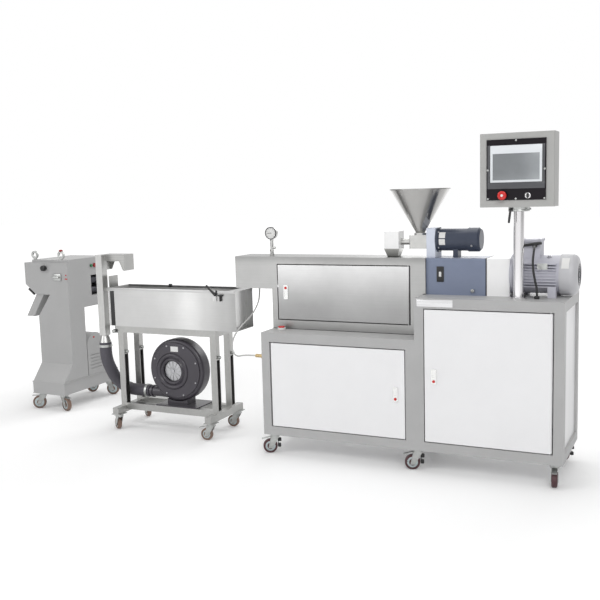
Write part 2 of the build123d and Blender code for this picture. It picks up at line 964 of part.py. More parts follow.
def castor_fork(x, y, turn, top, radius, width):
    cheek = width * half_share + fork_gap
    back = x - castor_trail
    plate = fork_plate_size * half_share
    deck = top - fork_plate_thick - swivel_height
    yoke = deck - fork_thick
    fork = rod_z(x, y, deck, top - fork_plate_thick, swivel_radius)
    edge = cheek + fork_thick
    near = swivel_radius * fork_share
    fork = fork + block(x - near, x + near, y - edge, y + edge, yoke, deck)
    outline = [(x - near, deck), (x + near, deck), (back + fork_toe, radius - fork_toe),
               (back - fork_toe, radius - fork_toe)]
    fork = fork + side_prism(outline, y - edge, y - cheek)
    fork = fork + side_prism(outline, y + cheek, y + edge)
    tip = back - pedal_reach
    tread = pedal_width * half_share
    drop = yoke - radius - radius
    pedal = [(x - near, deck), (x - near, yoke), (tip, yoke - drop), (tip, deck - drop)]
    fork = fork + side_prism(pedal, y - tread, y + tread)
    fork = fork + rod_y(back, y - edge, y + edge, radius, axle_radius)
    mount = block(x - plate, x + plate, y - plate, y + plate, top - fork_plate_thick, top)
    return mount + swivelled(fork, x, y, turn)


def castor_wheel(x, y, turn, radius, width):
    w = width * half_share
    bore = axle_radius + running_clearance
    dip = w - wheel_hub_recess
    rim = radius - wheel_edge - wheel_edge
    points = [(bore, -w), (wheel_hub_radius, -w), (wheel_hub_radius, -dip), (rim, -dip), (rim, -w),
              (radius - wheel_edge, -w), (radius, wheel_edge - w), (radius, w - wheel_edge),
              (radius - wheel_edge, w), (rim, w), (rim, dip), (wheel_hub_radius, dip),
              (wheel_hub_radius, w), (bore, w)]
    wheel = Pos(x - castor_trail, y, radius) * Rot(-quarter_turn, 0, 0) * turned(points)
    return swivelled(wheel, x, y, turn)


def castor_places(xs, ys, turns):
    spots = [(x, y) for x in xs for y in ys]
    return [(x, y, turn) for (x, y), turn in zip(spots, turns)]


def base_castor_places():
    return castor_places((castor_inset, mid_join, base_length - castor_inset),
                         (castor_inset, base_depth - castor_inset), base_castor_turns)


def bath_castor_places():
    return castor_places((leg_left + leg_size * half_share, leg_right + leg_size * half_share),
                         (foot_front + bath_castor_inset, foot_back - bath_castor_inset), bath_castor_turns)


def pel_castor_places():
    return castor_places((pel_left + castor_inset, pel_right - castor_inset),
                         (pel_front + castor_inset, pel_back - castor_inset), pel_castor_turns)


def castor_forks():
    solids = []
    for x, y, turn in base_castor_places():
        solids.append(castor_fork(x, y, turn, castor_height, base_wheel_radius, base_wheel_width))
    for x, y, turn in bath_castor_places():
        solids.append(castor_fork(x, y, turn, foot_bottom, grey_wheel_radius, grey_wheel_width))
    for x, y, turn in pel_castor_places():
        solids.append(castor_fork(x, y, turn, pel_bottom, pel_wheel_radius, pel_wheel_width))
    return group(solids)


def base_castor_wheels():
    return group(castor_wheel(x, y, turn, base_wheel_radius, base_wheel_width)
                 for x, y, turn in base_castor_places())


def grey_castor_wheels():
    solids = [castor_wheel(x, y, turn, grey_wheel_radius, grey_wheel_width)
              for x, y, turn in bath_castor_places()]
    solids += [castor_wheel(x, y, turn, pel_wheel_radius, pel_wheel_width)
               for x, y, turn in pel_castor_places()]
    return group(solids)


# water bath on its frame
def trough():
    wall = trough_wall
    end = trough_right - trough_end_recess
    outer = block(trough_left, trough_right, trough_front, trough_back, trough_bottom, trough_top)
    water = block(trough_left + wall, end - wall, trough_front + wall, trough_back - wall,
                  trough_bottom + wall, trough_top)
    mouth = block(end, trough_right, trough_front + wall, trough_back - wall,
                  trough_bottom + wall, trough_top - wall)
    return outer - water - mouth


leg_front_y = trough_front + leg_inset
leg_back_y = trough_back - leg_size
foot_top = foot_bottom + foot_height
low_rail_top = low_rail_bottom + rail_depth


def bath_leg(x, y):
    wall = leg_channel_wall
    leg = block(x, x + leg_size, y, y + leg_size, foot_top, leg_top)
    return leg - block(x + wall, x + leg_size, y + wall, y + leg_size - wall, low_rail_top, leg_sleeve_low)


def bath_legs():
    return group(bath_leg(x, y) for x in (leg_left, leg_right) for y in (leg_front_y, leg_back_y))


def bath_rails():
    solids = []
    top = leg_top - rail_depth
    low = low_rail_top
    for y in (leg_front_y, leg_back_y):
        solids.append(block(leg_left + leg_size, leg_right, y, y + leg_size, top, leg_top))
        solids.append(block(leg_left + leg_size, leg_right, y, y + leg_size, low_rail_bottom, low))
    for x in (leg_left, leg_right):
        solids.append(block(x, x + leg_size, leg_front_y + leg_size, leg_back_y, top, leg_top))
    return group(solids)


def bath_feet():
    return group(block(x, x + leg_size, foot_front, foot_back, foot_bottom, foot_top)
                 for x in (leg_left, leg_right))


# air knife: upright duct on a cone for the hose, with a notched hood over the bath's end
duct_x = duct_left + duct_width * half_share
duct_y = duct_front + duct_depth * half_share
hose_start = duct_bottom - duct_cone_height


def air_knife_duct():
    duct = block(duct_left, duct_left + duct_width, duct_front, duct_front + duct_depth, duct_bottom,
                 duct_top)
    cone = [(0, hose_start), (hose_radius, hose_start), (duct_width * half_share, duct_bottom),
            (0, duct_bottom)]
    duct = duct + Pos(duct_x, duct_y, 0) * turned(cone)
    bracket = block(duct_left + duct_width, trough_left, trough_front, duct_front + duct_depth,
                    trough_top - bracket_height, trough_top)
    return duct + bracket


def air_knife_hood():
    y0 = duct_front + duct_depth
    y1 = y0 + hood_depth
    z0 = duct_top - hood_height
    wall = hood_wall
    outer = block(duct_left, hood_right, y0, y1, z0, duct_top)
    inner = block(duct_left + wall, hood_right - wall, y0 + wall, y1 - wall, z0, duct_top - wall)
    top = z0 + notch_height
    notch = [(notch_left, z0), (notch_top_left, top), (notch_top_right, top), (notch_right, z0)]
    return outer - inner - side_prism(notch, y0, y1)


# blower: scroll casing, impeller, motor, base, and the hose up to the air knife
blower_back = blower_front + blower_depth
outlet_y = blower_front + blower_depth * half_share


def blower_casing():
    hollow = blower_radius - blower_wall
    case = rod_y(blower_x, blower_front, blower_back, blower_z, blower_radius)
    case = fillet(case.edges().filter_by(GeomType.CIRCLE), blower_edge)
    case = case + rod_x(outlet_end, blower_x, outlet_y, outlet_z, outlet_radius)
    collar = outlet_end + outlet_collar_length
    case = case + rod_x(collar, collar + outlet_collar_length, outlet_y, outlet_z, outlet_collar)
    case = case - rod_y(blower_x, blower_front + blower_wall, blower_back - blower_wall, blower_z, hollow)
    case = case - rod_y(blower_x, blower_front, blower_front + blower_wall, blower_z, face_radius - face_edge)
    case = case - rod_x(outlet_end, blower_x, outlet_y, outlet_z, outlet_radius - outlet_wall)
    hole = shaft_radius + shaft_hole_gap
    return case - rod_y(inlet_x, blower_back - blower_wall, blower_back, inlet_z, hole)


# front cover: raised rim, sunk ring and a rounded lip round the inlet
def blower_face():
    front = blower_front - blower_face_thick
    cover = rod_y(blower_x, front, blower_front, blower_z, face_radius)
    cover = fillet(cover.edges().filter_by(GeomType.CIRCLE).group_by(Axis.Y)[0], face_edge)
    cover = cover - rod_y(inlet_x, front, front + face_ring_sunk, inlet_z, face_ring_radius)
    lip = rod_y(inlet_x, front, blower_front, inlet_z, inlet_radius + inlet_lip)
    lip = fillet(lip.edges().filter_by(GeomType.CIRCLE).group_by(Axis.Y)[0], face_edge)
    return cover + lip - rod_y(inlet_x, front, blower_front, inlet_z, inlet_radius)


def blower_impeller():
    front = blower_front + blower_wall + impeller_gap
    back = blower_back - blower_wall - impeller_gap
    disc = rod_y(inlet_x, back - impeller_disc, back, inlet_z, impeller_radius)
    hub = rod_y(inlet_x, front + impeller_gap, back, inlet_z, hub_radius)
    shroud = rod_y(inlet_x, front, front + impeller_disc, inlet_z, impeller_radius)
    shroud = shroud - rod_y(inlet_x, front, front + impeller_disc, inlet_z, inlet_radius)
    wheel = disc + hub + shroud
    thin = blade_thick * half_share
    blade = block(blade_inner, impeller_radius - impeller_disc, front, back, -thin, thin)
    for i in range(blade_count):
        turn = i * full_turn / blade_count
        wheel = wheel + Pos(inlet_x, 0, inlet_z) * Rot(0, turn, 0) * blade
    return wheel - rod_y(inlet_x, front, back, inlet_z, shaft_radius + running_clearance)


def blower_motor():
    front = blower_front + blower_wall + impeller_gap + impeller_gap
    end = blower_back + blower_motor_length
    body = rod_y(inlet_x, blower_back, end, inlet_z, blower_motor_radius)
    body = body + rod_y(inlet_x, end - blower_cap_length, end, inlet_z, blower_cap_radius)
    return body + rod_y(inlet_x, front, blower_back, inlet_z, shaft_radius)


def blower_base():
    z0 = low_rail_top
    left = blower_x - blower_base_left_reach
    right = blower_x + blower_base_right_reach
    plate = block(left, right, leg_front_y, leg_back_y + leg_size, z0,
                  z0 + blower_base_thick)
    saddle = block(blower_x - saddle_left_reach, blower_x + saddle_right_reach, blower_front,
                   blower_back, z0, z0 + saddle_height)
    seat = rod_y(blower_x, blower_front, blower_back, blower_z, blower_radius + end_clearance)
    pipe = rod_x(outlet_end, blower_x, outlet_y, outlet_z, outlet_radius + end_clearance)
    return plate + (saddle - seat - pipe)


# each bend is as round as its shorter run allows
def bends(points, share):
    found = []
    for a, b, c in zip(points, points[1:], points[2:]):
        before = Vector(*b) - Vector(*a)
        after = Vector(*c) - Vector(*b)
        half_turn = radians(before.get_angle(after) * half_share)
        found.append(share * min(before.length, after.length) / tan(half_turn))
    return found


def hose_path():
    points = [(duct_x, duct_y, hose_start), (duct_x, duct_y, hose_turn_z),
              (hose_low_x, outlet_y, outlet_z), (outlet_end, outlet_y, outlet_z)]
    return FilletPolyline(*points, radius=bends(points, hose_bend_share))


def air_hose():
    path = hose_path()
    ring = Circle(hose_radius) - Circle(hose_bore)
    return sweep(Plane(origin=path @ 0, z_dir=path % 0) * ring, path=path)


def hose_clamps():
    outer = hose_radius + end_clearance + clamp_thick
    inner = hose_radius + end_clearance
    up = hose_start - clamp_width - clamp_width
    upper = rod_z(duct_x, duct_y, up, up + clamp_width, outer)
    upper = upper - rod_z(duct_x, duct_y, up, up + clamp_width, inner)
    left = outlet_end - clamp_width - clamp_width
    lower = rod_x(left, left + clamp_width, outlet_y, outlet_z, outer)
    lower = lower - rod_x(left, left + clamp_width, outlet_y, outlet_z, inner)
    return group([upper, lower])


def strand_guide():
    y = duct_front + duct_depth + hood_depth - guide_setback
    return block(trough_left, trough_left + guide_thick, y - guide_width, y, trough_top,
                 trough_top + guide_height)


# pelletizer
def pelletizer_base():
    base = block(pel_left, pel_right, pel_front, pel_back, pel_bottom, pel_base_top)
    lip = block(pel_left - pel_lip, pel_right + pel_lip, pel_front, pel_back, pel_base_top - pel_lip,
                pel_base_top)
    low_lip = block(pel_left - pel_lip, pel_right, pel_front, pel_back, pel_bottom, pel_bottom + pel_lip)
    return base + lip + low_lip


def pelletizer_column():
    back = column_front + column_depth
    points = [(pel_front + pel_lip, pel_base_top), (column_front, pel_base_top + flare_height),
              (column_front, column_top), (back, column_top), (back, pel_base_top)]
    body = end_prism(points, pel_left, pel_right)
    corner = [(pel_left, column_top), (pel_left, column_top - column_cut_height),
              (pel_left + column_cut_width, column_top)]
    return body - side_prism(corner, pel_front, back)


def pelletizer_hood():
    points = [(hood_left, head_top), (hood_left, hood_side_low), (hood_toe, column_top),
              (hood_seam, column_top), (hood_seam, head_top)]
    return side_prism(points, column_front, column_front + hood_depth_pel)


def pelletizer_head():
    back = column_front + column_depth
    body = block(hood_seam, pel_right, column_front, head_back, column_top, head_top)
    body = body + block(hood_seam, pel_right, back, head_back, head_low, column_top)
    pocket = block(pel_right - feed_open_depth, pel_right, feed_open_front, feed_open_back,
                   feed_open_low, feed_open_high)
    return body - pocket


def pelletizer_cover():
    return block(cover_left, pel_right, column_front + cover_inset, head_back, head_top,
                 head_top + cover_height)


def feed_rolls():
    x = pel_right - roll_setback
    low = feed_open_low + roll_radius + door_gap
    high = feed_open_high - roll_upper_radius - door_gap
    return group([rod_y(x, feed_open_front, feed_open_back, low, roll_radius),
                  rod_y(x, feed_open_front, feed_open_back, high, roll_upper_radius)])


def pellet_chute():
    top = [chute_left, chute_left + chute_thick]
    wall = chute_wall
    outer = [(top[0], column_top), (top[1], column_top), (top[1] - chute_shift, chute_low),
             (top[0] - chute_shift, chute_low)]
    inner = [(top[0] + wall, column_top), (top[1] - wall, column_top),
             (top[1] - wall - chute_shift, chute_low), (top[0] + wall - chute_shift, chute_low)]
    back = chute_front + chute_depth
    duct = side_prism(outer, chute_front, back)
    return duct - side_prism(inner, chute_front + wall, back - wall)


def drive_housing():
    radius = drive_width * half_share
    mid = drive_front + radius
    top = pel_base_top + drive_height - radius
    body = block(drive_left, pel_right, drive_front, drive_front + drive_width, pel_base_top, top)
    body = body + rod_x(drive_left, pel_right, mid, top, radius)
    half = vent_width * half_share
    for i in range(vent_count):
        z = pel_base_top + vent_rise + i * vent_pitch
        body = body - block(pel_right - vent_deep, pel_right, mid - half, mid + half, z, z + vent_height)
    return body


def lifting_eyes():
    solids = []
    base = head_top + cover_height
    z = base + eye_height
    thin = eye_thick * half_share
    for x in (eye_first, eye_second):
        foot = block(x - eye_stem * half_share, x + eye_stem * half_share, eye_y - thin, eye_y + thin,
                     base, z)
        ring = foot + rod_y(x, eye_y - thin, eye_y + thin, z, eye_radius)
        solids.append(ring - rod_y(x, eye_y - thin, eye_y + thin, z, eye_hole))
    return group(solids)


# pelletizer fittings: knob, latch, bar handle, two push buttons
def pelletizer_knob():
    knob = rod_y(knob_x, column_front - knob_depth, column_front, knob_z, knob_radius)
    return fillet(knob.edges().filter_by(GeomType.CIRCLE).group_by(Axis.Y)[0], knob_edge)


def pelletizer_latch():
    front = column_front - latch_thick
    plate = block(latch_left, latch_right, front, column_front, latch_low, latch_high)
    plate = fillet(plate.edges().filter_by(Axis.Y), latch_edge)
    middle = (latch_low + latch_high) * half_share
    tall = latch_grip_height * half_share
    grip = block(latch_left, latch_right - latch_edge, front - latch_grip_out, front, middle - tall, middle + tall)
    return plate + fillet(grip.edges().filter_by(Axis.Y), latch_edge)


def pelletizer_handle():
    slope = Vector(hood_toe - hood_left, 0, column_top - hood_side_low)
    lean = slope.get_angle(Vector(1, 0, 0))
    half = grip_length * half_share
    foot = half - grip_radius
    y = column_front + grip_standoff
    bar = rod_x(-half, half, 0, -grip_standoff, grip_radius)
    for x in (-foot, foot):
        bar = bar + rod_z(x, 0, -grip_standoff, 0, grip_radius * half_share)
    middle_x = (hood_left + hood_toe) * half_share
    middle_z = (hood_side_low + column_top) * half_share
    return Pos(middle_x, y, middle_z) * Rot(0, lean, 0) * bar


def pelletizer_fittings():
    solids = [pelletizer_knob(), pelletizer_latch(), pelletizer_handle()]
    for y in (push_y, push_y + push_gap):
        solids.append(rod_x(pel_right, pel_right + push_out, y, push_z, push_radius))
    return group(solids)


# leads run from gland to gland in straight runs and round bends
die_low = shaft_z - die_radius
box_gland_x = coupling_right + motor_flange_thick + terminal_left + box_gland_shift
box_gland_z = motor_z + cowl_radius + terminal_height - box_gland_drop
box_front = motor_mid - terminal_depth * half_share
plate_gland_x = box_gland_x + plate_gland_right


def cable_glands():
    sensor = rod_z(sensor_x, guard_mid, die_low - sensor_length, die_low, sensor_radius)
    post = rod_x(-post_gland_out, 0, post_gland_y, post_gland_z, gland_radius)
    post = post + rod_x(-gland_nut, 0, post_gland_y, post_gland_z, gland_nut_radius)
    box = rod_y(box_gland_x, box_front - box_gland_out, box_front, box_gland_z, gland_radius)
    plate = rod_z(plate_gland_x, plate_gland_y, tall_top, tall_top + plate_gland_out, gland_radius)
    return group([sensor, post, box, plate])


def lead(points, radius):
    radii = bends(points, lead_share)
    path = FilletPolyline(*points, radius=radii)
    tube = sweep(Plane(origin=path @ 0, z_dir=path % 0) * Circle(radius), path=path)
    section = Circle(radius).area
    print("lead", [round(r) for r in radii], "length", round(path.length), "share of volume",
          tube.volume / (section * path.length))
    return tube


# a route's points are given as shares of the way from its start to its end
def route(start, end, shares):
    points = [start]
    for share in shares:
        points.append(tuple(a + (b - a) * part for a, b, part in zip(start, end, share)))
    return points + [end]


def sensor_cable():
    start = (sensor_x, guard_mid, die_low - sensor_length)
    end = (-post_gland_out, post_gland_y, post_gland_z)
    return lead(route(start, end, sensor_route_shares), lead_radius)


def motor_cable():
    start = (box_gland_x, box_front - box_gland_out, box_gland_z)
    end = (plate_gland_x, plate_gland_y, tall_top + plate_gland_out)
    return lead(route(start, end, motor_route_shares), motor_lead_radius)


save("base_posts", base_posts())
save("base_rails", base_rails())
save("base_top_plates", base_top_plates())
save("base_panels", base_panels())
save("low_door", low_door())
save("tall_door", tall_door())
save("guard_door", guard_door())
save("door_hinge_pins", door_hinge_pins())
save("barrel_guard", barrel_guard())
save("barrel", barrel())
save("die_head", die_head())
save("pressure_gauge", pressure_gauge())
save("gearbox", gearbox())
save("coupling_guard", coupling_guard())
save("main_motor", main_motor())
save("motor_cowl", motor_cowl())
save("feed_funnel", feed_funnel())
save("drop_box", drop_box())
save("feeder_body", feeder_body())
save("hopper", hopper())
save("feeder_plate", feeder_plate())
save("feeder_motor", feeder_motor())
save("panel_post", panel_post())
save("control_panel", control_panel())
save("panel_bezel", panel_bezel())
save("panel_controls", panel_controls())
save("low_door_lock", low_door_lock())
save("tall_door_lock", tall_door_lock())
save("guard_door_lock", guard_door_lock())
save("castor_forks", castor_forks())
save("base_castor_wheels", base_castor_wheels())
save("grey_castor_wheels", grey_castor_wheels())
save("trough", trough())
save("bath_legs", bath_legs())
save("bath_rails", bath_rails())
save("bath_feet", bath_feet())
save("air_knife_duct", air_knife_duct())
save("air_knife_hood", air_knife_hood())
save("blower_casing", blower_casing())
save("blower_face", blower_face())
save("blower_impeller", blower_impeller())
save("blower_motor", blower_motor())
save("blower_base", blower_base())
save("air_hose", air_hose())
save("hose_clamps", hose_clamps())
save("strand_guide", strand_guide())
save("pelletizer_base", pelletizer_base())
save("pelletizer_column", pelletizer_column())
save("pelletizer_hood", pelletizer_hood())
save("pelletizer_head", pelletizer_head())
save("pelletizer_cover", pelletizer_cover())
save("feed_rolls", feed_rolls())
save("pellet_chute", pellet_chute())
save("drive_housing", drive_housing())
save("lifting_eyes", lifting_eyes())
save("pelletizer_fittings", pelletizer_fittings())
save("cable_glands", cable_glands())
save("sensor_cable", sensor_cable())
save("motor_cable", motor_cable())
print("shift", shift_x, shift_y, "post", post_x, "left", line_left, "right", line_right)
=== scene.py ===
import math

import bpy
from mathutils import Matrix, Vector


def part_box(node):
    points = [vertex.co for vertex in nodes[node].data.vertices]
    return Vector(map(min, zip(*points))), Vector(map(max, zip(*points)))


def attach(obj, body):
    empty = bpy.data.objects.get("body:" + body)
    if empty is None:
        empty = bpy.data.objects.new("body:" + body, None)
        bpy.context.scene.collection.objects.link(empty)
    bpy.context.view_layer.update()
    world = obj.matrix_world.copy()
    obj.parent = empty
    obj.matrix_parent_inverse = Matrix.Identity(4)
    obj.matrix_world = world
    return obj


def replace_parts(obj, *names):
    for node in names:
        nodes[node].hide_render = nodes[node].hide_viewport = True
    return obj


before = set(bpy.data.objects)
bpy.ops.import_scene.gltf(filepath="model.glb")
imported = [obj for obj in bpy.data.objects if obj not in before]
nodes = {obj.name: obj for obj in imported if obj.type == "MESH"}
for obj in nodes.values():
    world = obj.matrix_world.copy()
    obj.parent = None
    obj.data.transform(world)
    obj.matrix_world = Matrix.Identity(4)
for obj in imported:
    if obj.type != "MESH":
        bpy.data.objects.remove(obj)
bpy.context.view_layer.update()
bpy.context.scene.view_settings.view_transform = "Standard"
print("frame loaded:", len(nodes), "nodes")

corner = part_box("base_posts")[0]  # front left corner of the extruder base


def place(x, y, z):  # metres right of and behind that corner, height above the floor
    return Vector((corner.x + x, corner.y + y, z))


# tools for shader nodes
def addNode(tree, kind, values=None, links=None, **settings):  # a node with its set values and what feeds it
    node = tree.nodes.new(kind)
    for name, value in settings.items():
        setattr(node, name, value)
    for socket, value in (values or {}).items():
        node.inputs[socket].default_value = value
    for socket, source in (links or {}).items():
        tree.links.new(source, node.inputs[socket])
    return node


def steer(tree, source, low=0.0, high=1.0, start=0.0, end=1.0, ease="LINEAR"):  # start..end onto low..high
    ends = {"From Min": start, "From Max": end, "To Min": low, "To Max": high}
    node = addNode(tree, "ShaderNodeMapRange", ends, {"Value": source}, interpolation_type=ease)
    return node.outputs["Result"]


def combine(tree, operation, *sources):
    result = sources[0]
    for source in sources[1:]:
        result = addNode(tree, "ShaderNodeMath", links={0: result, 1: source}, operation=operation).outputs[0]
    return result


def sideways(tree, direction):  # how far a direction points to the left or right
    split = addNode(tree, "ShaderNodeSeparateXYZ", links={"Vector": direction})
    return addNode(tree, "ShaderNodeMath", links={0: split.outputs["X"]}, operation="ABSOLUTE").outputs[0]


def blend(tree, one, other, factor, way="MIX"):
    node = addNode(tree, "ShaderNodeMix", links={"A": one, "B": other}, data_type="RGBA", blend_type=way)
    if isinstance(factor, float):
        node.inputs["Factor"].default_value = factor
    else:
        tree.links.new(factor, node.inputs["Factor"])
    return node.outputs["Result"]


def startMaterial(name):
    made = bpy.data.materials.new(name)
    made.use_nodes = True
    return made, made.node_tree, made.node_tree.nodes["Principled BSDF"]


# camera and light
cameraSetup = {
    "right": 2.04546, "back": -3.79876, "high": 1.35197, "lens": 51.19, "sensor": 36.0, "reach": 100,
    "turnLeft": 25.58, "tipDown": 7.29, "roll": -1.57,
}


def addCamera(setup):
    turn, tip, roll = (math.radians(setup[key]) for key in ("turnLeft", "tipDown", "roll"))
    forward = Vector((-math.sin(turn) * math.cos(tip), math.cos(turn) * math.cos(tip), -math.sin(tip)))
    level = Vector((math.cos(turn), math.sin(turn), 0))
    upright = level.cross(forward)
    right = level * math.cos(roll) + upright * math.sin(roll)
    upward = upright * math.cos(roll) - level * math.sin(roll)
    cameraData = bpy.data.cameras.new("photoCamera")
    cameraData.lens = setup["lens"]
    cameraData.sensor_width = setup["sensor"]
    cameraData.clip_end = setup["reach"]
    camera = bpy.data.objects.new("photoCamera", cameraData)
    bpy.context.scene.collection.objects.link(camera)
    turned = Matrix((right, upward, -forward)).transposed().to_4x4()
    camera.matrix_world = Matrix.Translation(place(setup["right"], setup["back"], setup["high"])) @ turned
    bpy.context.scene.camera = camera


addCamera(cameraSetup)

worldSetup = {"ambient": 0.5, "background": 1.0, "sides": 0.4, "sideFrom": 0.55, "sideTo": 0.95}


def seenRays(tree, path):  # 1 for rays from the camera, off gloss and through glass
    return combine(tree, "MAXIMUM", *(path.outputs[kind] for kind in
                                      ("Is Camera Ray", "Is Glossy Ray", "Is Transmission Ray")))


def dimSides(tree, direction, path, setup):  # reflections see a studio that is dimmer at its left and right
    level = addNode(tree, "ShaderNodeVectorMath", links={0: direction}, operation="NORMALIZE")
    dim = steer(tree, sideways(tree, level.outputs["Vector"]), 1.0, setup["sides"], setup["sideFrom"],
                setup["sideTo"], "SMOOTHSTEP")
    mirrored = addNode(tree, "ShaderNodeMix", {"A": 1.0}, {"Factor": path.outputs["Is Glossy Ray"], "B": dim})
    return mirrored.outputs["Result"]


def addWorld(setup):
    world = bpy.data.worlds.new("studio")
    bpy.context.scene.world = world
    world.use_nodes = True
    tree = world.node_tree
    tree.nodes.clear()
    path = addNode(tree, "ShaderNodeLightPath")
    strength = steer(tree, seenRays(tree, path), setup["ambient"], setup["background"])
    where = addNode(tree, "ShaderNodeTexCoord")
    level = combine(tree, "MULTIPLY", strength, dimSides(tree, where.outputs["Generated"], path, setup))
    sky = addNode(tree, "ShaderNodeBackground", {"Color": (1, 1, 1, 1)}, {"Strength": level})
    addNode(tree, "ShaderNodeOutputWorld", links={"Surface": sky.outputs["Background"]})


addWorld(worldSetup)

lamps = {
    "keyLamp": {"at": (3.6, -5.2, 4.6), "aim": (0.3, 0.0, 0.7), "size": 3.2, "watts": 130},
    "fillLamp": {"at": (-4.2, -4.6, 3.4), "aim": (-0.3, 0.0, 0.6), "size": 3.5, "watts": 80},
    "topLamp": {"at": (0.0, 0.6, 5.6), "aim": (0.0, 0.0, 0.6), "size": 4.5, "watts": 90},
    "backLamp": {"at": (0.5, 5.5, 3.6), "aim": (0.0, 0.2, 0.6), "size": 4.0, "watts": 90},
}


def addLamp(name, setup):
    lampData = bpy.data.lights.new(name, "AREA")
    lampData.energy = setup["watts"]
    lampData.shape = "DISK"
    lampData.size = setup["size"]
    lamp = bpy.data.objects.new(name, lampData)
    bpy.context.scene.collection.objects.link(lamp)
    lamp.location = setup["at"]
    lamp.rotation_euler = (Vector(setup["aim"]) - Vector(setup["at"])).to_track_quat("-Z", "Y").to_euler()


for lampName, lampSetup in lamps.items():
    addLamp(lampName, lampSetup)

floorSetup = {
    "size": 60.0, "colour": (0.93, 0.93, 0.93, 1), "rough": 0.9, "gloss": 0.1, "near": 1.6, "far": 5.0,
    "nearGlow": 0.1, "farGlow": 0.6,
}


def addFloor(setup):
    bpy.ops.object.select_all(action="DESELECT")
    bpy.ops.mesh.primitive_plane_add(size=setup["size"], location=(0, 0, 0))
    floor = bpy.context.object
    floor.name = "studioFloor"
    paint, tree, shader = startMaterial("floorPaint")
    shader.inputs["Base Color"].default_value = setup["colour"]
    shader.inputs["Roughness"].default_value = setup["rough"]
    shader.inputs["Specular IOR Level"].default_value = setup["gloss"]
    shader.inputs["Emission Color"].default_value = (1, 1, 1, 1)
    spot = addNode(tree, "ShaderNodeNewGeometry").outputs["Position"]
    away = addNode(tree, "ShaderNodeVectorMath", links={0: spot}, operation="LENGTH")
    ends = [setup[key] for key in ("nearGlow", "farGlow", "near", "far")]
    glow = steer(tree, away.outputs["Value"], *ends, "SMOOTHSTEP")  # paler far off, so no horizon shows
    path = addNode(tree, "ShaderNodeLightPath")
    level = combine(tree, "MULTIPLY", glow, seenRays(tree, path), dimSides(tree, spot, path, worldSetup))
    tree.links.new(level, shader.inputs["Emission Strength"])
    floor.data.materials.append(paint)


addFloor(floorSetup)
print("camera, light and floor ready")

# shared effects
effectSetup = {
    "noiseFrom": 0.3, "noiseTo": 0.7, "cloudDetail": 5, "cloudRough": 0.6, "grainDetail": 4,
    "dustScale": 14, "dustDetail": 6, "dustFrom": 0.5,
}
midGrey = (0.5, 0.5, 0.5, 1)


def newGroup(name, inputs, outputs):
    group = bpy.data.node_groups.new(name, "ShaderNodeTree")
    for label, kind, value in inputs:
        socket = group.interface.new_socket(name=label, in_out="INPUT", socket_type=kind)
        socket.default_value = value
    for label, kind in outputs:
        group.interface.new_socket(name=label, in_out="OUTPUT", socket_type=kind)
    return group, group.nodes.new("NodeGroupInput"), group.nodes.new("NodeGroupOutput")


def makeClouds(setup):  # slow change of tone over a surface, between two colours
    group, given, result = newGroup(
        "tonalClouds", [("Size", "NodeSocketFloat", 3.0), ("Low Color", "NodeSocketColor", midGrey),
                        ("High Color", "NodeSocketColor", midGrey)],
        [("Color", "NodeSocketColor"), ("Value", "NodeSocketFloat")])
    where = addNode(group, "ShaderNodeTexCoord")
    values = {"Detail": setup["cloudDetail"], "Roughness": setup["cloudRough"]}
    noise = addNode(group, "ShaderNodeTexNoise", values,
                    {"Vector": where.outputs["Object"], "Scale": given.outputs["Size"]})
    change = steer(group, noise.outputs["Fac"], start=setup["noiseFrom"], end=setup["noiseTo"])
    colour = blend(group, given.outputs["Low Color"], given.outputs["High Color"], change)
    group.links.new(colour, result.inputs["Color"])
    group.links.new(change, result.inputs["Value"])
    return group


def makeGrain(setup):  # fine brushed streaks, long along one axis
    group, given, result = newGroup(
        "brushedGrain", [("Stretch", "NodeSocketVector", (4.0, 400.0, 400.0))],
        [("Streak", "NodeSocketFloat")])
    where = addNode(group, "ShaderNodeTexCoord")
    longer = addNode(group, "ShaderNodeMapping",
                     links={"Vector": where.outputs["Object"], "Scale": given.outputs["Stretch"]})
    noise = addNode(group, "ShaderNodeTexNoise", {"Scale": 1, "Detail": setup["grainDetail"]},
                    {"Vector": longer.outputs["Vector"]})
    streak = steer(group, noise.outputs["Fac"], start=setup["noiseFrom"], end=setup["noiseTo"])
    group.links.new(streak, result.inputs["Streak"])
    return group


def makeDust(setup):  # a thin film on faces that look up
    group, given, result = newGroup(
        "settledDust", [("Amount", "NodeSocketFloat", 0.3), ("Under", "NodeSocketColor", midGrey),
                        ("Dust Color", "NodeSocketColor", (0.6, 0.59, 0.57, 1))],
        [("Color", "NodeSocketColor"), ("Mask", "NodeSocketFloat")])
    shape = addNode(group, "ShaderNodeNewGeometry")
    split = addNode(group, "ShaderNodeSeparateXYZ", links={"Vector": shape.outputs["Normal"]})
    facing = steer(group, split.outputs["Z"], start=setup["dustFrom"])
    where = addNode(group, "ShaderNodeTexCoord")
    noise = addNode(group, "ShaderNodeTexNoise", {"Scale": setup["dustScale"], "Detail": setup["dustDetail"]},
                    {"Vector": where.outputs["Object"]})
    film = combine(group, "MULTIPLY", facing, noise.outputs["Fac"], given.outputs["Amount"])
    colour = blend(group, given.outputs["Under"], given.outputs["Dust Color"], film)
    group.links.new(colour, result.inputs["Color"])
    group.links.new(film, result.inputs["Mask"])
    return group


clouds, grain, dustFilm = makeClouds(effectSetup), makeGrain(effectSetup), makeDust(effectSetup)


def addClouds(tree, colour, change, size):
    factors = (1 - change, 1 + change)
    low, high = (tuple(min(1.0, part * factor) for part in colour) + (1,) for factor in factors)
    values = {"Size": size, "Low Color": low, "High Color": high}
    return addNode(tree, "ShaderNodeGroup", values, node_tree=clouds)


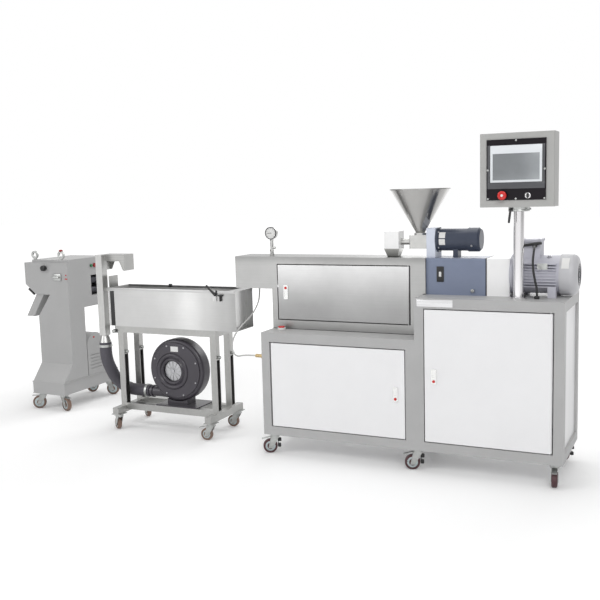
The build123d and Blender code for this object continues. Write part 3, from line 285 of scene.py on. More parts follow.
def addPaintedLight(tree, tint, paintedLightRamps, paintedSideTone=1.0):  # painted light and shade: tones along an axis, and a tone for faces that look left or right
    where = addNode(tree, "ShaderNodeTexCoord")
    split = addNode(tree, "ShaderNodeSeparateXYZ", links={"Vector": where.outputs["Object"]})
    levels = []
    for paintedLightRamp in paintedLightRamps:
        along = steer(tree, split.outputs[paintedLightRamp["axis"]], start=paintedLightRamp["low"], end=paintedLightRamp["high"])
        ramp = addNode(tree, "ShaderNodeValToRGB", links={"Fac": along})
        ramp.color_ramp.interpolation = "EASE"
        stops = ramp.color_ramp.elements
        for i, (share, tone) in enumerate(paintedLightRamp["tones"]):
            stop = stops[i] if i < 2 else stops.new(share)
            stop.position = share
            stop.color = (tone, tone, tone, 1)
        levels.append(ramp.outputs["Color"])
    # painted light: faces that look left or right get the side tone
    if paintedSideTone != 1:
        shape = addNode(tree, "ShaderNodeNewGeometry")
        levels.append(steer(tree, sideways(tree, shape.outputs["Normal"]), 1.0, paintedSideTone))
    for level in levels:
        tint = blend(tree, tint, level, 1.0, "MULTIPLY")
    return tint


def addRelief(tree, shader, height, strength, depth):
    bump = addNode(tree, "ShaderNodeBump", {"Strength": strength, "Distance": depth}, {"Height": height})
    tree.links.new(bump.outputs["Normal"], shader.inputs["Normal"])


paintSetup = {"cloudSize": 5.0, "roughChange": 0.05, "depth": 0.001}
metalSetup = {"cloudSize": 2.5, "roughDown": 0.24, "roughUp": 0.32, "depth": 0.0005}


def makePaint(name, colour, rough=0.45, texture=420.0, relief=0.06, dust=0.25, change=0.05, coat=0.0,
              specular=0.5, paintedLightRamps=()):
    made, tree, shader = startMaterial(name)
    tone = addClouds(tree, colour, change, paintSetup["cloudSize"])
    film = addNode(tree, "ShaderNodeGroup", {"Amount": dust}, {"Under": tone.outputs["Color"]},
                   node_tree=dustFilm)
    # painted light and shade from the ramps multiplies the base colour
    tree.links.new(addPaintedLight(tree, film.outputs["Color"], paintedLightRamps), shader.inputs["Base Color"])
    swing = paintSetup["roughChange"]
    roughness = steer(tree, tone.outputs["Value"], rough - swing, rough + swing)
    tree.links.new(roughness, shader.inputs["Roughness"])
    shader.inputs["Coat Weight"].default_value = coat
    shader.inputs["Specular IOR Level"].default_value = specular
    where = addNode(tree, "ShaderNodeTexCoord")
    peel = addNode(tree, "ShaderNodeTexNoise", {"Scale": texture}, {"Vector": where.outputs["Object"]})
    addRelief(tree, shader, peel.outputs["Fac"], relief, paintSetup["depth"])
    return made


def makeMetal(name, colour, rough=0.35, stretch=(4.0, 400.0, 400.0), change=0.1, relief=0.05, paintedLightRamps=(),
              streak=0.25, paintedSideTone=1.0):
    made, tree, shader = startMaterial(name)
    shader.inputs["Metallic"].default_value = 1.0
    tone = addClouds(tree, colour, change, metalSetup["cloudSize"])
    lines = addNode(tree, "ShaderNodeGroup", {"Stretch": stretch}, node_tree=grain).outputs["Streak"]
    tint = blend(tree, tone.outputs["Color"], lines, streak, "MULTIPLY")
    # painted light and shade from the ramps and the side tone multiply the base colour
    tree.links.new(addPaintedLight(tree, tint, paintedLightRamps, paintedSideTone), shader.inputs["Base Color"])
    low, high = rough - metalSetup["roughDown"] * streak, rough + metalSetup["roughUp"] * streak
    tree.links.new(steer(tree, lines, low, high), shader.inputs["Roughness"])
    addRelief(tree, shader, lines, relief, metalSetup["depth"])
    return made


def paintedLightRamp(axis, low, high, *tones):  # painted light and shade: tones at shares of the way from low to high
    return {"axis": axis, "low": low, "high": high, "tones": tones}


# finishes
doorLow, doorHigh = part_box("guard_door")
guardLow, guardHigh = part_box("barrel_guard")
troughLow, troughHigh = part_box("trough")
funnelLow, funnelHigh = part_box("feed_funnel")
bezelLow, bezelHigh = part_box("panel_bezel")
doorTall = doorHigh.z - doorLow.z
doorTopShare = (doorHigh.z - guardLow.z) / (guardHigh.z - guardLow.z)
evenGrain, castGrain, uprightGrain = (60.0, 60.0, 60.0), (90.0, 90.0, 90.0), (60.0, 60.0, 3.0)
plastic = dict(relief=0.01, dust=0.0, change=0.04)
glass = dict(rough=0.2, relief=0.0, dust=0.0)
paints = {
    "frameGrey": dict(colour=(0.43, 0.43, 0.43)),
    "doorWhite": dict(colour=(0.85, 0.85, 0.86), rough=0.4, change=0.015),
    "hoodWhite": dict(colour=(0.93, 0.93, 0.93), rough=0.4, change=0.03),
    "panelGrey": dict(colour=(0.41, 0.41, 0.4)),
    "machineGrey": dict(colour=(0.4, 0.4, 0.4), change=0.03),
    "gearboxBlue": dict(colour=(0.2, 0.235, 0.33), rough=0.4, change=0.08),
    "motorLilac": dict(colour=(0.52, 0.52, 0.58), change=0.06),
    "cowlSilver": dict(colour=(0.5, 0.5, 0.52), rough=0.35, change=0.06),
    "navyPaint": dict(colour=(0.05, 0.06, 0.09), rough=0.3, dust=0.05, coat=0.05, specular=0.3),
    "palePlate": dict(colour=(0.66, 0.7, 0.8), rough=0.4),
    "blowerBlack": dict(colour=(0.05, 0.045, 0.056), rough=0.3, texture=260.0, dust=0.04, change=0.15),
    "blackPlastic": dict(colour=(0.014, 0.014, 0.015), rough=0.4, dust=0.05, change=0.1),
    "bezelBlack": dict(colour=(0.008, 0.006, 0.009), rough=0.3, relief=0.02, dust=0.02, change=0.1,
                       specular=0.2),
    "maroonWheel": dict(colour=(0.075, 0.03, 0.035), rough=0.5, dust=0.1, change=0.12),
    "greyWheel": dict(colour=(0.2, 0.13, 0.1), rough=0.55, dust=0.1, change=0.1),
    "hoseGrey": dict(colour=(0.07, 0.066, 0.08), rough=0.6, texture=320.0, relief=0.5, dust=0.1, change=0.15),
    "redPlastic": dict(colour=(0.6, 0.02, 0.018), rough=0.25, **plastic),
    "deepRed": dict(colour=(0.3, 0.008, 0.01), rough=0.3, **plastic),
    "greenPlastic": dict(colour=(0.02, 0.16, 0.06), rough=0.25, **plastic),
    "labelWhite": dict(colour=(0.75, 0.75, 0.74), rough=0.5, relief=0.02, dust=0.02, change=0.03),
    "screenWhite": dict(colour=(0.78, 0.81, 0.84), change=0.01, **glass),
    # painted reflection: the screen picture lighter towards its right and its bottom
    "screenGrey": dict(colour=(0.235, 0.25, 0.262), change=0.12, **glass, paintedLightRamps=[
        paintedLightRamp("X", bezelLow.x, bezelHigh.x, (0.1, 0.88), (0.5, 0.95), (0.9, 1.4)),
        paintedLightRamp("Z", bezelLow.z, bezelHigh.z, (0.25, 1.2), (0.5, 1.0), (0.9, 0.95))]),
    "barGrey": dict(colour=(0.075, 0.077, 0.085), rough=0.3, relief=0.02, dust=0.0),
    "cableGrey": dict(colour=(0.5, 0.5, 0.49), rough=0.5, dust=0.0),
}
metals = {
    "stainless": dict(colour=(0.44, 0.44, 0.43)),
    "bathSteel": dict(colour=(0.43, 0.43, 0.42), stretch=evenGrain, change=0.08, streak=0.1),
    # painted shade: the guard darker towards its bottom and at its top, where the overhang shades it
    "guardSteel": dict(colour=(0.48, 0.48, 0.475), rough=0.38, streak=0.08, relief=0.02, paintedLightRamps=[
        paintedLightRamp("Z", guardLow.z, guardHigh.z, (0.0, 0.8), (0.35, 0.9), (0.65, 1.0), (doorTopShare, 1.0),
             (1.0, 0.74))]),
    # painted shade: the guard door darker towards its bottom, lightest at its top
    "guardDoorSteel": dict(colour=(0.86, 0.86, 0.86), rough=0.4, streak=0.06, relief=0.02, paintedLightRamps=[
        paintedLightRamp("Z", doorLow.z + 0.1 * doorTall, doorHigh.z + 0.4 * doorTall, (0.0, 0.42), (1.0, 1.0))]),
    # painted light and shade: the trough lightest right of its middle and darker towards its right end, its
    # end faces painted lighter
    "troughSteel": dict(colour=(0.7, 0.7, 0.695), streak=0.06, relief=0.02, paintedSideTone=1.6, paintedLightRamps=[
        paintedLightRamp("X", troughLow.x, troughHigh.x, (0.0, 0.76), (0.32, 0.78), (0.5, 0.88), (0.64, 1.0),
             (0.78, 0.82), (0.92, 0.66), (1.0, 0.56))]),
    "hopperSteel": dict(colour=(0.44, 0.435, 0.425), rough=0.2, stretch=uprightGrain, change=0.03, relief=0.0,
                        streak=0.05),
    # painted shade: the funnel much darker towards its bottom
    "funnelSteel": dict(colour=(0.6, 0.6, 0.58), rough=0.3, stretch=uprightGrain, change=0.04, relief=0.0,
                        streak=0.08,
                        paintedLightRamps=[paintedLightRamp("Z", funnelLow.z, funnelHigh.z, (0.0, 0.1), (0.2, 0.14), (1.0, 1.0))]),
    "feederCast": dict(colour=(0.6, 0.6, 0.585), rough=0.3, stretch=(40.0, 40.0, 40.0), change=0.08,
                       streak=0.1),
    "lockChrome": dict(colour=(0.82, 0.82, 0.81), rough=0.25, stretch=evenGrain, change=0.04, streak=0.08),
    "uprightSteel": dict(colour=(0.57, 0.57, 0.56), stretch=(400.0, 400.0, 4.0)),
    "postChrome": dict(colour=(0.8, 0.79, 0.8), rough=0.12, stretch=(300.0, 300.0, 4.0), change=0.02,
                       streak=0.06),
    "hubZinc": dict(colour=(0.55, 0.62, 0.63), rough=0.3, stretch=evenGrain, change=0.12),
    "zinc": dict(colour=(0.5, 0.51, 0.5), stretch=evenGrain, change=0.15),
    "brass": dict(colour=(0.56, 0.42, 0.22), rough=0.3, stretch=castGrain),
    "castAluminium": dict(colour=(0.5, 0.5, 0.52), stretch=castGrain, streak=0.15),
    "brushedPlate": dict(colour=(0.8, 0.8, 0.81), rough=0.3, stretch=(3.0, 300.0, 300.0), change=0.03,
                         relief=0.01),
    "rimSteel": dict(colour=(0.62, 0.62, 0.62), change=0.03, relief=0.02),
    "barrelSteel": dict(colour=(0.4, 0.39, 0.37), rough=0.45, stretch=(30.0, 120.0, 120.0), change=0.2),
    "darkSteel": dict(colour=(0.07, 0.07, 0.08), rough=0.4, stretch=(120.0, 30.0, 120.0), change=0.2),
}
finishes = {name: makePaint(name, **setup) for name, setup in paints.items()}
finishes.update({name: makeMetal(name, **setup) for name, setup in metals.items()})
nodeFinish = {
    "frameGrey": ["base_posts", "base_rails", "base_top_plates"],
    "doorWhite": ["low_door", "tall_door", "base_panels"], "hoodWhite": ["coupling_guard", "drop_box"],
    "panelGrey": ["control_panel"], "gearboxBlue": ["gearbox"], "motorLilac": ["main_motor"],
    "cowlSilver": ["motor_cowl"], "navyPaint": ["feeder_motor"], "palePlate": ["feeder_plate"],
    "machineGrey": ["pelletizer_base", "pelletizer_column", "pelletizer_hood", "pelletizer_head",
                    "pelletizer_cover", "pellet_chute", "drive_housing"],
    "blowerBlack": ["blower_casing", "blower_face", "blower_motor", "blower_base"],
    "bezelBlack": ["panel_bezel"], "maroonWheel": ["base_castor_wheels"], "greyWheel": ["grey_castor_wheels"],
    "hoseGrey": ["air_hose"], "guardSteel": ["barrel_guard"], "guardDoorSteel": ["guard_door"],
    "troughSteel": ["trough"], "hopperSteel": ["hopper"], "funnelSteel": ["feed_funnel"],
    "uprightSteel": ["air_knife_duct", "pressure_gauge"],
    "bathSteel": ["bath_legs", "bath_feet", "bath_rails"],
    "stainless": ["air_knife_hood", "strand_guide"], "feederCast": ["feeder_body"], "brass": ["cable_glands"],
    "postChrome": ["panel_post"], "darkSteel": ["feed_rolls"],
    "zinc": ["castor_forks", "hose_clamps", "lifting_eyes", "door_hinge_pins", "die_head"],
    "lockChrome": ["low_door_lock", "tall_door_lock", "guard_door_lock"],
    "castAluminium": ["blower_impeller"], "barrelSteel": ["barrel"],
    "blackPlastic": ["pelletizer_fittings", "motor_cable"], "redPlastic": ["panel_controls"],
    "cableGrey": ["sensor_cable"],
}
for finishName, nodeNames in nodeFinish.items():
    for nodeName in nodeNames:
        nodes[nodeName].data.materials.clear()
        nodes[nodeName].data.materials.append(finishes[finishName])
print("finishes on", sum(len(names) for names in nodeFinish.values()), "nodes")

# tools for modelling by hand
lap = 0.001  # how far a piece sinks into what carries it
weld = 0.00001
facing = 0.9  # least cosine of a face that looks a given way


def clearSelection():
    if bpy.context.object and bpy.context.object.mode != "OBJECT":
        bpy.ops.object.mode_set(mode="OBJECT")
    bpy.ops.object.select_all(action="DESELECT")


def settle(piece):  # the place goes into the mesh, the object stays at the origin
    bpy.ops.object.transform_apply(location=True, rotation=True, scale=True)
    return piece


def pickFaces(piece, wanted):
    bpy.ops.object.mode_set(mode="EDIT")
    bpy.ops.mesh.select_mode(type="FACE")
    bpy.ops.mesh.select_all(action="DESELECT")
    bpy.ops.object.mode_set(mode="OBJECT")
    for face in piece.data.polygons:
        face.select = wanted(face)
    bpy.ops.object.mode_set(mode="EDIT")


def closeUp(piece, angle=35):
    bpy.ops.object.mode_set(mode="EDIT")
    bpy.ops.mesh.select_all(action="SELECT")
    bpy.ops.mesh.remove_doubles(threshold=weld)
    bpy.ops.mesh.normals_make_consistent(inside=False)
    bpy.ops.object.mode_set(mode="OBJECT")
    bpy.ops.object.shade_smooth_by_angle(angle=math.radians(angle))
    return piece


def softBlock(low, high, edge, segments=2):
    clearSelection()
    low, high = Vector(low), Vector(high)
    bpy.ops.mesh.primitive_cube_add(size=1, location=(low + high) / 2, scale=high - low)
    piece = settle(bpy.context.object)
    bpy.ops.object.mode_set(mode="EDIT")
    bpy.ops.mesh.select_all(action="SELECT")
    bpy.ops.mesh.bevel(offset=edge, segments=segments, affect="EDGES")
    return closeUp(piece)


def roundBar(start, end, radius, edge, sides=32, dish=0.0, dishDeep=0.0):
    clearSelection()
    start, end = Vector(start), Vector(end)
    turn = (end - start).to_track_quat("Z", "Y").to_euler()
    bpy.ops.mesh.primitive_cylinder_add(vertices=sides, radius=radius, depth=(end - start).length,
                                        location=(start + end) / 2, rotation=turn)
    piece = settle(bpy.context.object)
    pickFaces(piece, lambda face: len(face.vertices) > 4)
    bpy.ops.mesh.bevel(offset=edge, segments=3, affect="EDGES")
    if dish:
        outward = (end - start).normalized()
        bpy.ops.object.mode_set(mode="OBJECT")
        pickFaces(piece, lambda face: len(face.vertices) > 4 and face.normal.dot(outward) > facing)
        bpy.ops.mesh.inset(thickness=dish, depth=0)
        bpy.ops.mesh.inset(thickness=dishDeep, depth=-dishDeep)
    return closeUp(piece)


def startPoint(spot):  # one vertex to draw from, in edit mode
    clearSelection()
    bpy.ops.mesh.primitive_plane_add(size=1, location=(0, 0, 0))
    bpy.ops.object.mode_set(mode="EDIT")
    bpy.ops.mesh.select_mode(type="VERT")
    bpy.ops.mesh.select_all(action="SELECT")
    bpy.ops.mesh.merge(type="CENTER")
    bpy.ops.transform.translate(value=spot)
    return bpy.context.object


def frontPlate(spans, front, out, edge):  # flat plate on a front face, spans right of the corner and up
    x0, x1, z0, z1 = spans
    return softBlock((corner.x + x0, front - out, z0), (corner.x + x1, front + lap, z1), edge)


def ringSpots(count, first, radius):  # evenly spaced points of a circle, from a first angle in degrees
    turns = [math.radians(first + i * 360 / count) for i in range(count)]
    return [(radius * math.cos(turn), radius * math.sin(turn)) for turn in turns]


def spunRing(profile, middle, axis, steps=72):  # closed profile of (radius, along) turned about an axis
    axis, middle = Vector(axis), Vector(middle)
    spots = [middle + Vector((radius, 0, 0)) + axis * along for radius, along in profile]
    piece = startPoint(spots[0])
    for before, after in zip(spots, spots[1:] + spots[:1]):
        bpy.ops.mesh.extrude_region_move(TRANSFORM_OT_translate={"value": after - before})
    bpy.ops.mesh.select_all(action="SELECT")
    bpy.ops.mesh.remove_doubles(threshold=weld)
    bpy.ops.mesh.spin(steps=steps, angle=math.radians(360), center=middle, axis=axis)
    return closeUp(piece, angle=50)


def frontward(turn):  # across the X axis, turned up from the front
    return Vector((0, -math.cos(turn), math.sin(turn)))


def curvedPlate(middle, radius, x0, x1, turns, thick, steps=8):  # blank plate bent round a body along X
    first, last = (math.radians(turn) for turn in turns)
    spot = middle + frontward(first) * radius
    piece = startPoint((x0, spot.y, spot.z))
    bpy.ops.mesh.extrude_region_move(TRANSFORM_OT_translate={"value": (x1 - x0, 0, 0)})
    bpy.ops.mesh.select_all(action="SELECT")
    bpy.ops.mesh.spin(steps=steps, angle=last - first, center=(x0, middle.y, middle.z), axis=(1, 0, 0))
    bpy.ops.object.mode_set(mode="OBJECT")
    closeUp(piece)
    wall = piece.modifiers.new("wall", "SOLIDIFY")
    wall.thickness = thick
    wall.offset = 0
    bpy.ops.object.modifier_apply(modifier="wall")
    return closeUp(piece)


def join(pieces):
    clearSelection()
    for piece in pieces:
        piece.select_set(True)
    bpy.context.view_layer.objects.active = pieces[0]
    if len(pieces) > 1:
        bpy.ops.object.join()
    return bpy.context.object


def spreadOut(piece, moves):  # one model set at every place, each copy with its own mesh
    copies = []
    for move in moves:
        twin = piece.copy()
        twin.data = piece.data.copy()
        twin.data.transform(move)
        bpy.context.scene.collection.objects.link(twin)
        copies.append(twin)
    bpy.data.objects.remove(piece)
    return join(copies)


def shiftTo(spots):
    return [Matrix.Translation(spot) for spot in spots]


def fit(piece, name, finishName, body="line"):
    piece.name = name
    piece.data.name = name
    piece.data.materials.clear()
    piece.data.materials.append(finishes[finishName])
    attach(piece, body)
    return piece


# control panel: screen, stop button, key switch, lever, flange, screws
panelLow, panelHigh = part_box("control_panel")
panelTall = 0.325  # the box alone, without its flange
panelBottom = panelHigh.z - panelTall
postLow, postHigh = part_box("panel_post")
postMiddle = (postLow + postHigh) / 2
swivel = Vector((postMiddle.x, postMiddle.y, panelBottom))
screen = {
    "left": 0.016, "rise": 0.078, "width": 0.226, "height": 0.162, "sunk": 0.0018, "side": 0.011,
    "foot": 0.010, "head": 0.036, "proud": 0.0003, "barHeight": 0.028, "barOver": 0.0115, "barGap": 0.001,
    "edge": 0.0006,
}


def buildScreen(s):
    x0, z0, y = bezelLow.x + s["left"], bezelLow.z + s["rise"], bezelLow.y
    x1, z1 = x0 + s["width"], z0 + s["height"]
    edge, over, gap = s["edge"], s["barOver"], s["barGap"]
    face = softBlock((x0, y + edge, z0), (x1, y + s["sunk"], z1), edge)
    fit(face, "screenFace", "screenWhite", "panel")
    picture = softBlock((x0 + s["side"], y + s["proud"], z0 + s["foot"]),
                        (x1 - s["side"], y + s["sunk"], z1 - s["head"]), s["proud"])
    fit(picture, "screenPicture", "screenGrey", "panel")
    bars = [softBlock((x0 - over, y - edge, z0 - s["barHeight"]), (x1 + over, y + edge, z0 - gap), edge)]
    for x in (x0, x1 + over + gap):
        bars.append(softBlock((x - over, y - edge, z0 - gap), (x - gap, y + edge, z1 + gap), edge))
    fit(join(bars), "screenBar", "barGrey", "panel")


buildScreen(screen)

stopButton = {
    "x": 0.1040, "rise": 0.052, "collarDeep": 0.014, "capDeep": 0.014, "highlightIn": 0.0005, "highlightOut": 0.001,
    "collar": dict(radius=0.0155, edge=0.001),
    "cap": dict(radius=0.020, edge=0.005, dish=0.008, dishDeep=0.002),
    "highlightDisc": dict(radius=0.0085, edge=0.0004, dish=0.0051, dishDeep=0.0004),
}


def buildStop(s):
    x, z, y = panelLow.x + s["x"], panelBottom + s["rise"], bezelLow.y
    base = y - s["collarDeep"]
    fit(roundBar((x, y, z), (x, base, z), **s["collar"]), "stopCollar", "blackPlastic", "panel")
    cap = roundBar((x, base, z), (x, base - s["capDeep"], z), **s["cap"])
    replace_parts(fit(cap, "stopCap", "redPlastic", "panel"), "panel_controls")
    front = base - s["capDeep"] + s["cap"]["dishDeep"]
    # painted highlight: a pale disc in the cap's dish for the bright spot at its centre
    highlightDisc = roundBar((x, front + s["highlightIn"], z), (x, front - s["highlightOut"], z), **s["highlightDisc"])
    fit(highlightDisc, "stopHighlight", "labelWhite", "panel")


buildStop(stopButton)

keySwitch = {
    "x": 0.214, "rise": 0.050, "ringDeep": 0.010, "bowWide": 0.003, "bowTall": 0.011, "bowDeep": 0.010,
    "bowEdge": 0.001, "ring": dict(radius=0.013, edge=0.002, dish=0.003, dishDeep=0.002),
}


def buildKey(s):
    x, z, y = panelLow.x + s["x"], panelBottom + s["rise"], bezelLow.y
    front = y - s["ringDeep"]
    fit(roundBar((x, y, z), (x, front, z), **s["ring"]), "keyRing", "postChrome", "panel")
    bow = softBlock((x - s["bowWide"], front - s["bowDeep"], z - s["bowTall"]),
                    (x + s["bowWide"], front + s["ring"]["dishDeep"], z + s["bowTall"]), s["bowEdge"])
    fit(bow, "keyBow", "blackPlastic", "panel")


buildKey(keySwitch)

lever = {
    "turn": 238.0, "ring": 0.045, "hubLong": 0.015, "long": 0.062, "lean": 10.0, "drop": 0.010,
    "hub": dict(radius=0.006, edge=0.001), "arm": dict(radius=0.0052, edge=0.00312),
}


def buildLever(s):
    turn, lean = math.radians(s["turn"]), math.radians(s["lean"])
    out, down = Vector((math.cos(turn), math.sin(turn), 0)), Vector((0, 0, -1))
    root = swivel + down * s["drop"] + out * s["ring"]
    hub = roundBar(root, root + out * s["hubLong"], **s["hub"])
    neck = root + out * (s["hubLong"] - s["hub"]["radius"])
    arm = roundBar(neck, neck + (out * math.sin(lean) + down * math.cos(lean)) * s["long"], **s["arm"])
    fit(join([hub, arm]), "clampLever", "blackPlastic", "panel")


buildLever(lever)

flange = {
    "profile": [
        (0.0452, -0.0196), (0.0460, -0.0204), (0.0472, -0.0192), (0.0472, -0.0124), (0.0461, -0.0114),
        (0.0461, -0.0092), (0.0472, -0.0082), (0.0472, -0.0006), (0.0452, -0.0006),
    ],
    "turns": (-40.0, 10.0), "boltIn": 0.045, "boltOut": 0.053, "drop": 0.0103,
    "bolt": dict(radius=0.0042, edge=0.0008, sides=12, dish=0.0015, dishDeep=0.001),
}


def buildFlange(s):
    fit(spunRing(s["profile"], swivel, (0, 0, 1)), "panelFlange", "zinc", "panel")
    bolt = roundBar((s["boltIn"], 0, -s["drop"]), (s["boltOut"], 0, -s["drop"]), **s["bolt"])
    moves = [Matrix.Translation(swivel) @ Matrix.Rotation(math.radians(turn), 4, "Z") for turn in s["turns"]]
    fit(spreadOut(bolt, moves), "flangeBolts", "zinc", "panel")


buildFlange(flange)

panelScrews = {
    "out": 0.003, "inset": 0.006,
    "head": dict(radius=0.0045, edge=0.0012, sides=16, dish=0.002, dishDeep=0.0006),
}


def buildPanelScrews(s):
    middleX, middleZ = (bezelLow.x + bezelHigh.x) / 2, (bezelLow.z + bezelHigh.z) / 2
    left, right = bezelLow.x + s["inset"], bezelHigh.x - s["inset"]
    low, high = bezelLow.z + s["inset"], bezelHigh.z - s["inset"]
    spots = [(left, low), (right, low), (left, middleZ), (right, middleZ), (middleX, low), (middleX, high)]
    head = roundBar((0, 0, 0), (0, -s["out"], 0), **s["head"])
    heads = spreadOut(head, shiftTo((x, bezelLow.y, z) for x, z in spots))
    fit(heads, "panelScrews", "zinc", "panel")


buildPanelScrews(panelScrews)
print("control panel dressed")

# red push buttons on the three door locks
lockButton = {
    "shift": 0.022, "out": 0.0012,
    "cap": dict(radius=0.0068, edge=0.0008, sides=24, dish=0.002, dishDeep=0.0005),
}


def buildLockButton(s, nodeName, body, way):
    low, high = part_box(nodeName)
    x, z = (low.x + high.x) / 2, (low.z + high.z) / 2 + way * s["shift"]
    cap = roundBar((x, low.y + s["out"], z), (x, low.y - s["out"], z), **s["cap"])
    fit(cap, nodeName + "Button", "redPlastic", body)


for lockBody, lockWay in (("low_door", -1), ("tall_door", -1), ("guard_door", 1)):
    buildLockButton(lockButton, lockBody + "_lock", lockBody, lockWay)

# extruder trim: sight plate, plug, black strip, blank plate, dark strips painting the shade line under the
# guard, ledge button, gauge
gearLow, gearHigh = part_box("gearbox")
gearTrim = {
    "plate": (0.884, 0.919, 0.902, 0.976), "plateOut": 0.004, "plateEdge": 0.0018, "windowIn": 0.0115,
    "windowLow": 0.025, "windowOut": 0.003, "windowEdge": 0.0025, "plugX": 1.058, "plugZ": 0.863,
    "plugOut": 0.010, "strip": 0.006, "stripOut": 0.0015, "stripGap": 0.0003, "stripEdge": 0.0006,
    "plug": dict(radius=0.0095, edge=0.002, sides=6, dish=0.004, dishDeep=0.002),
}


def buildGearTrim(s):
    y, out, inset, rise = gearLow.y, s["stripOut"], s["windowIn"], s["windowLow"]
    fit(frontPlate(s["plate"], y, s["plateOut"], s["plateEdge"]), "sightPlate", "blackPlastic")
    x0, x1, z0, z1 = s["plate"]
    window = softBlock((corner.x + x0 + inset, y - s["plateOut"] - s["windowOut"], z0 + rise),
                       (corner.x + x1 - inset, y, z1 - rise), s["windowEdge"], segments=3)
    fit(window, "sightWindow", "labelWhite")
    x, z = corner.x + s["plugX"], s["plugZ"]
    fit(roundBar((x, y + lap, z), (x, y - s["plugOut"], z), **s["plug"]), "drainPlug", "zinc")
    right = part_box("coupling_guard")[0].x
    strip = softBlock((right - s["strip"], y - out, gearLow.z + out),
                      (right - s["stripGap"], gearHigh.y + out, gearHigh.z + out), s["stripEdge"])
    fit(strip, "gearStrip", "blackPlastic")


buildGearTrim(gearTrim)

badge = {"low": (0.830, -0.0015, 0.801), "high": (1.002, 0.0, 0.835), "edge": 0.0006}
fit(softBlock(place(*badge["low"]), place(*badge["high"]), badge["edge"]), "badgePlate", "brushedPlate")

guardShadeSetup = {"out": 0.0006, "high": 0.0026, "edge": 0.0004, "runs": [(0.0, 0.816, 0.640), (0.816, 0.831, 0.840)]}


# painted shade: thin dark strips along the guard's lower edges for the shade line beneath them
def buildGuardShadeLines(s):
    runs = [frontPlate((x0, x1, z, z + s["high"]), guardLow.y, s["out"], s["edge"])
            for x0, x1, z in s["runs"]]
    fit(join(runs), "guardShadeLines", "blackPlastic")


buildGuardShadeLines(guardShadeSetup)

ledgeButton = {
    "at": (0.070, 0.098), "overDoor": 0.053, "baseHigh": 0.013, "capHigh": 0.007,
    "base": dict(radius=0.021, edge=0.002), "cap": dict(radius=0.017, edge=0.002),
}


def buildLedgeButton(s):
    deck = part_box("low_door")[1].z + s["overDoor"]
    top = deck + s["baseHigh"]
    fit(roundBar(place(*s["at"], deck), place(*s["at"], top), **s["base"]), "ledgeBase", "labelWhite")
    cap = roundBar(place(*s["at"], top - lap), place(*s["at"], top + s["capHigh"]), **s["cap"])
    fit(cap, "ledgeCap", "redPlastic")


buildLedgeButton(ledgeButton)

gauge = {
    "rim": [
        (0.0290, 0.0030), (0.0296, -0.0010), (0.0312, -0.0022), (0.0326, -0.0006), (0.0326, 0.0060),
        (0.0321, 0.0060),
    ],
    "rimSteps": 48, "axisDown": 0.032, "dialBack": 0.0035, "dialFront": 0.0015,
    "dial": dict(radius=0.0285, edge=0.0004, sides=40), "sweep": 270.0, "ticks": 9, "tickIn": 0.022,
    "tickLong": 0.005, "tickSunk": 0.0012, "tick": dict(radius=0.0006, edge=0.0002, sides=8),
    "needleTurn": -90.0, "needleBack": 0.005, "needleLong": 0.020, "needleSunk": 0.001,
    "needle": dict(radius=0.0012, edge=0.0003, sides=8), "collarEdge": 0.0008,
    "collars": [
        (0.0085, 0.032, 0.0092, 32), (0.021, 0.031, 0.0112, 6), (0.050, 0.070, 0.0088, 32),
        (0.077, 0.085, 0.0104, 6),
    ],
}


def buildGauge(s):
    low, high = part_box("pressure_gauge")
    x, z, y = (low.x + high.x) / 2, high.z - s["axisDown"], low.y
    dial = roundBar((x, y + s["dialBack"], z), (x, y + s["dialFront"], z), **s["dial"])
    fit(dial, "gaugeDial", "labelWhite")
    fit(spunRing(s["rim"], (x, y, z), (0, 1, 0), s["rimSteps"]), "gaugeRim", "darkSteel")
    marks = []
    for i in range(s["ticks"]):
        turn = math.radians(-s["sweep"] / 2 + i * s["sweep"] / (s["ticks"] - 1))
        way = Vector((math.sin(turn), 0, math.cos(turn)))
        start = Vector((x, y + s["tickSunk"], z)) + way * s["tickIn"]
        marks.append(roundBar(start, start + way * s["tickLong"], **s["tick"]))
    turn = math.radians(s["needleTurn"])
    way = Vector((math.sin(turn), 0, math.cos(turn)))
    middle = Vector((x, y + s["needleSunk"], z))
    marks.append(roundBar(middle - way * s["needleBack"], middle + way * s["needleLong"], **s["needle"]))
    fit(join(marks), "gaugeMarks", "blackPlastic")
    stemY = (low.y + high.y) / 2
    collars = [roundBar((x, stemY, low.z + start), (x, stemY, low.z + end), radius, s["collarEdge"], sides)
               for start, end, radius, sides in s["collars"]]
    fit(join(collars), "gaugeCollars", "uprightSteel")


buildGauge(gauge)
print("extruder trim done")

# motors: flange bolts, end screw, blank plates, lug, gland, terminal screws
feederLow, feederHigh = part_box("feeder_motor")
motorLow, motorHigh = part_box("main_motor")
cowlLow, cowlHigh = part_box("motor_cowl")
cowlMiddle = (cowlLow + cowlHigh) / 2
plateThick = 0.0008
feederTrim = {
    "axisDown": 0.06, "flange": 0.010, "bolts": 4, "firstBolt": 45.0, "boltCircle": 0.052, "boltOut": 0.006,
    "bolt": dict(radius=0.006, edge=0.001, sides=6), "bell": 0.036, "bellRadius": 0.058,
    "bellTurn": -27.502, "screwOut": 0.004,
    "screw": dict(radius=0.0052, edge=0.0012, sides=16, dish=0.002, dishDeep=0.0008), "plateRadius": 0.0546,
    "plateIn": 0.008, "plateLong": 0.030,
    "plates": {"feederPlateLow": (-25, 5), "feederPlateHigh": (10, 42)},
}


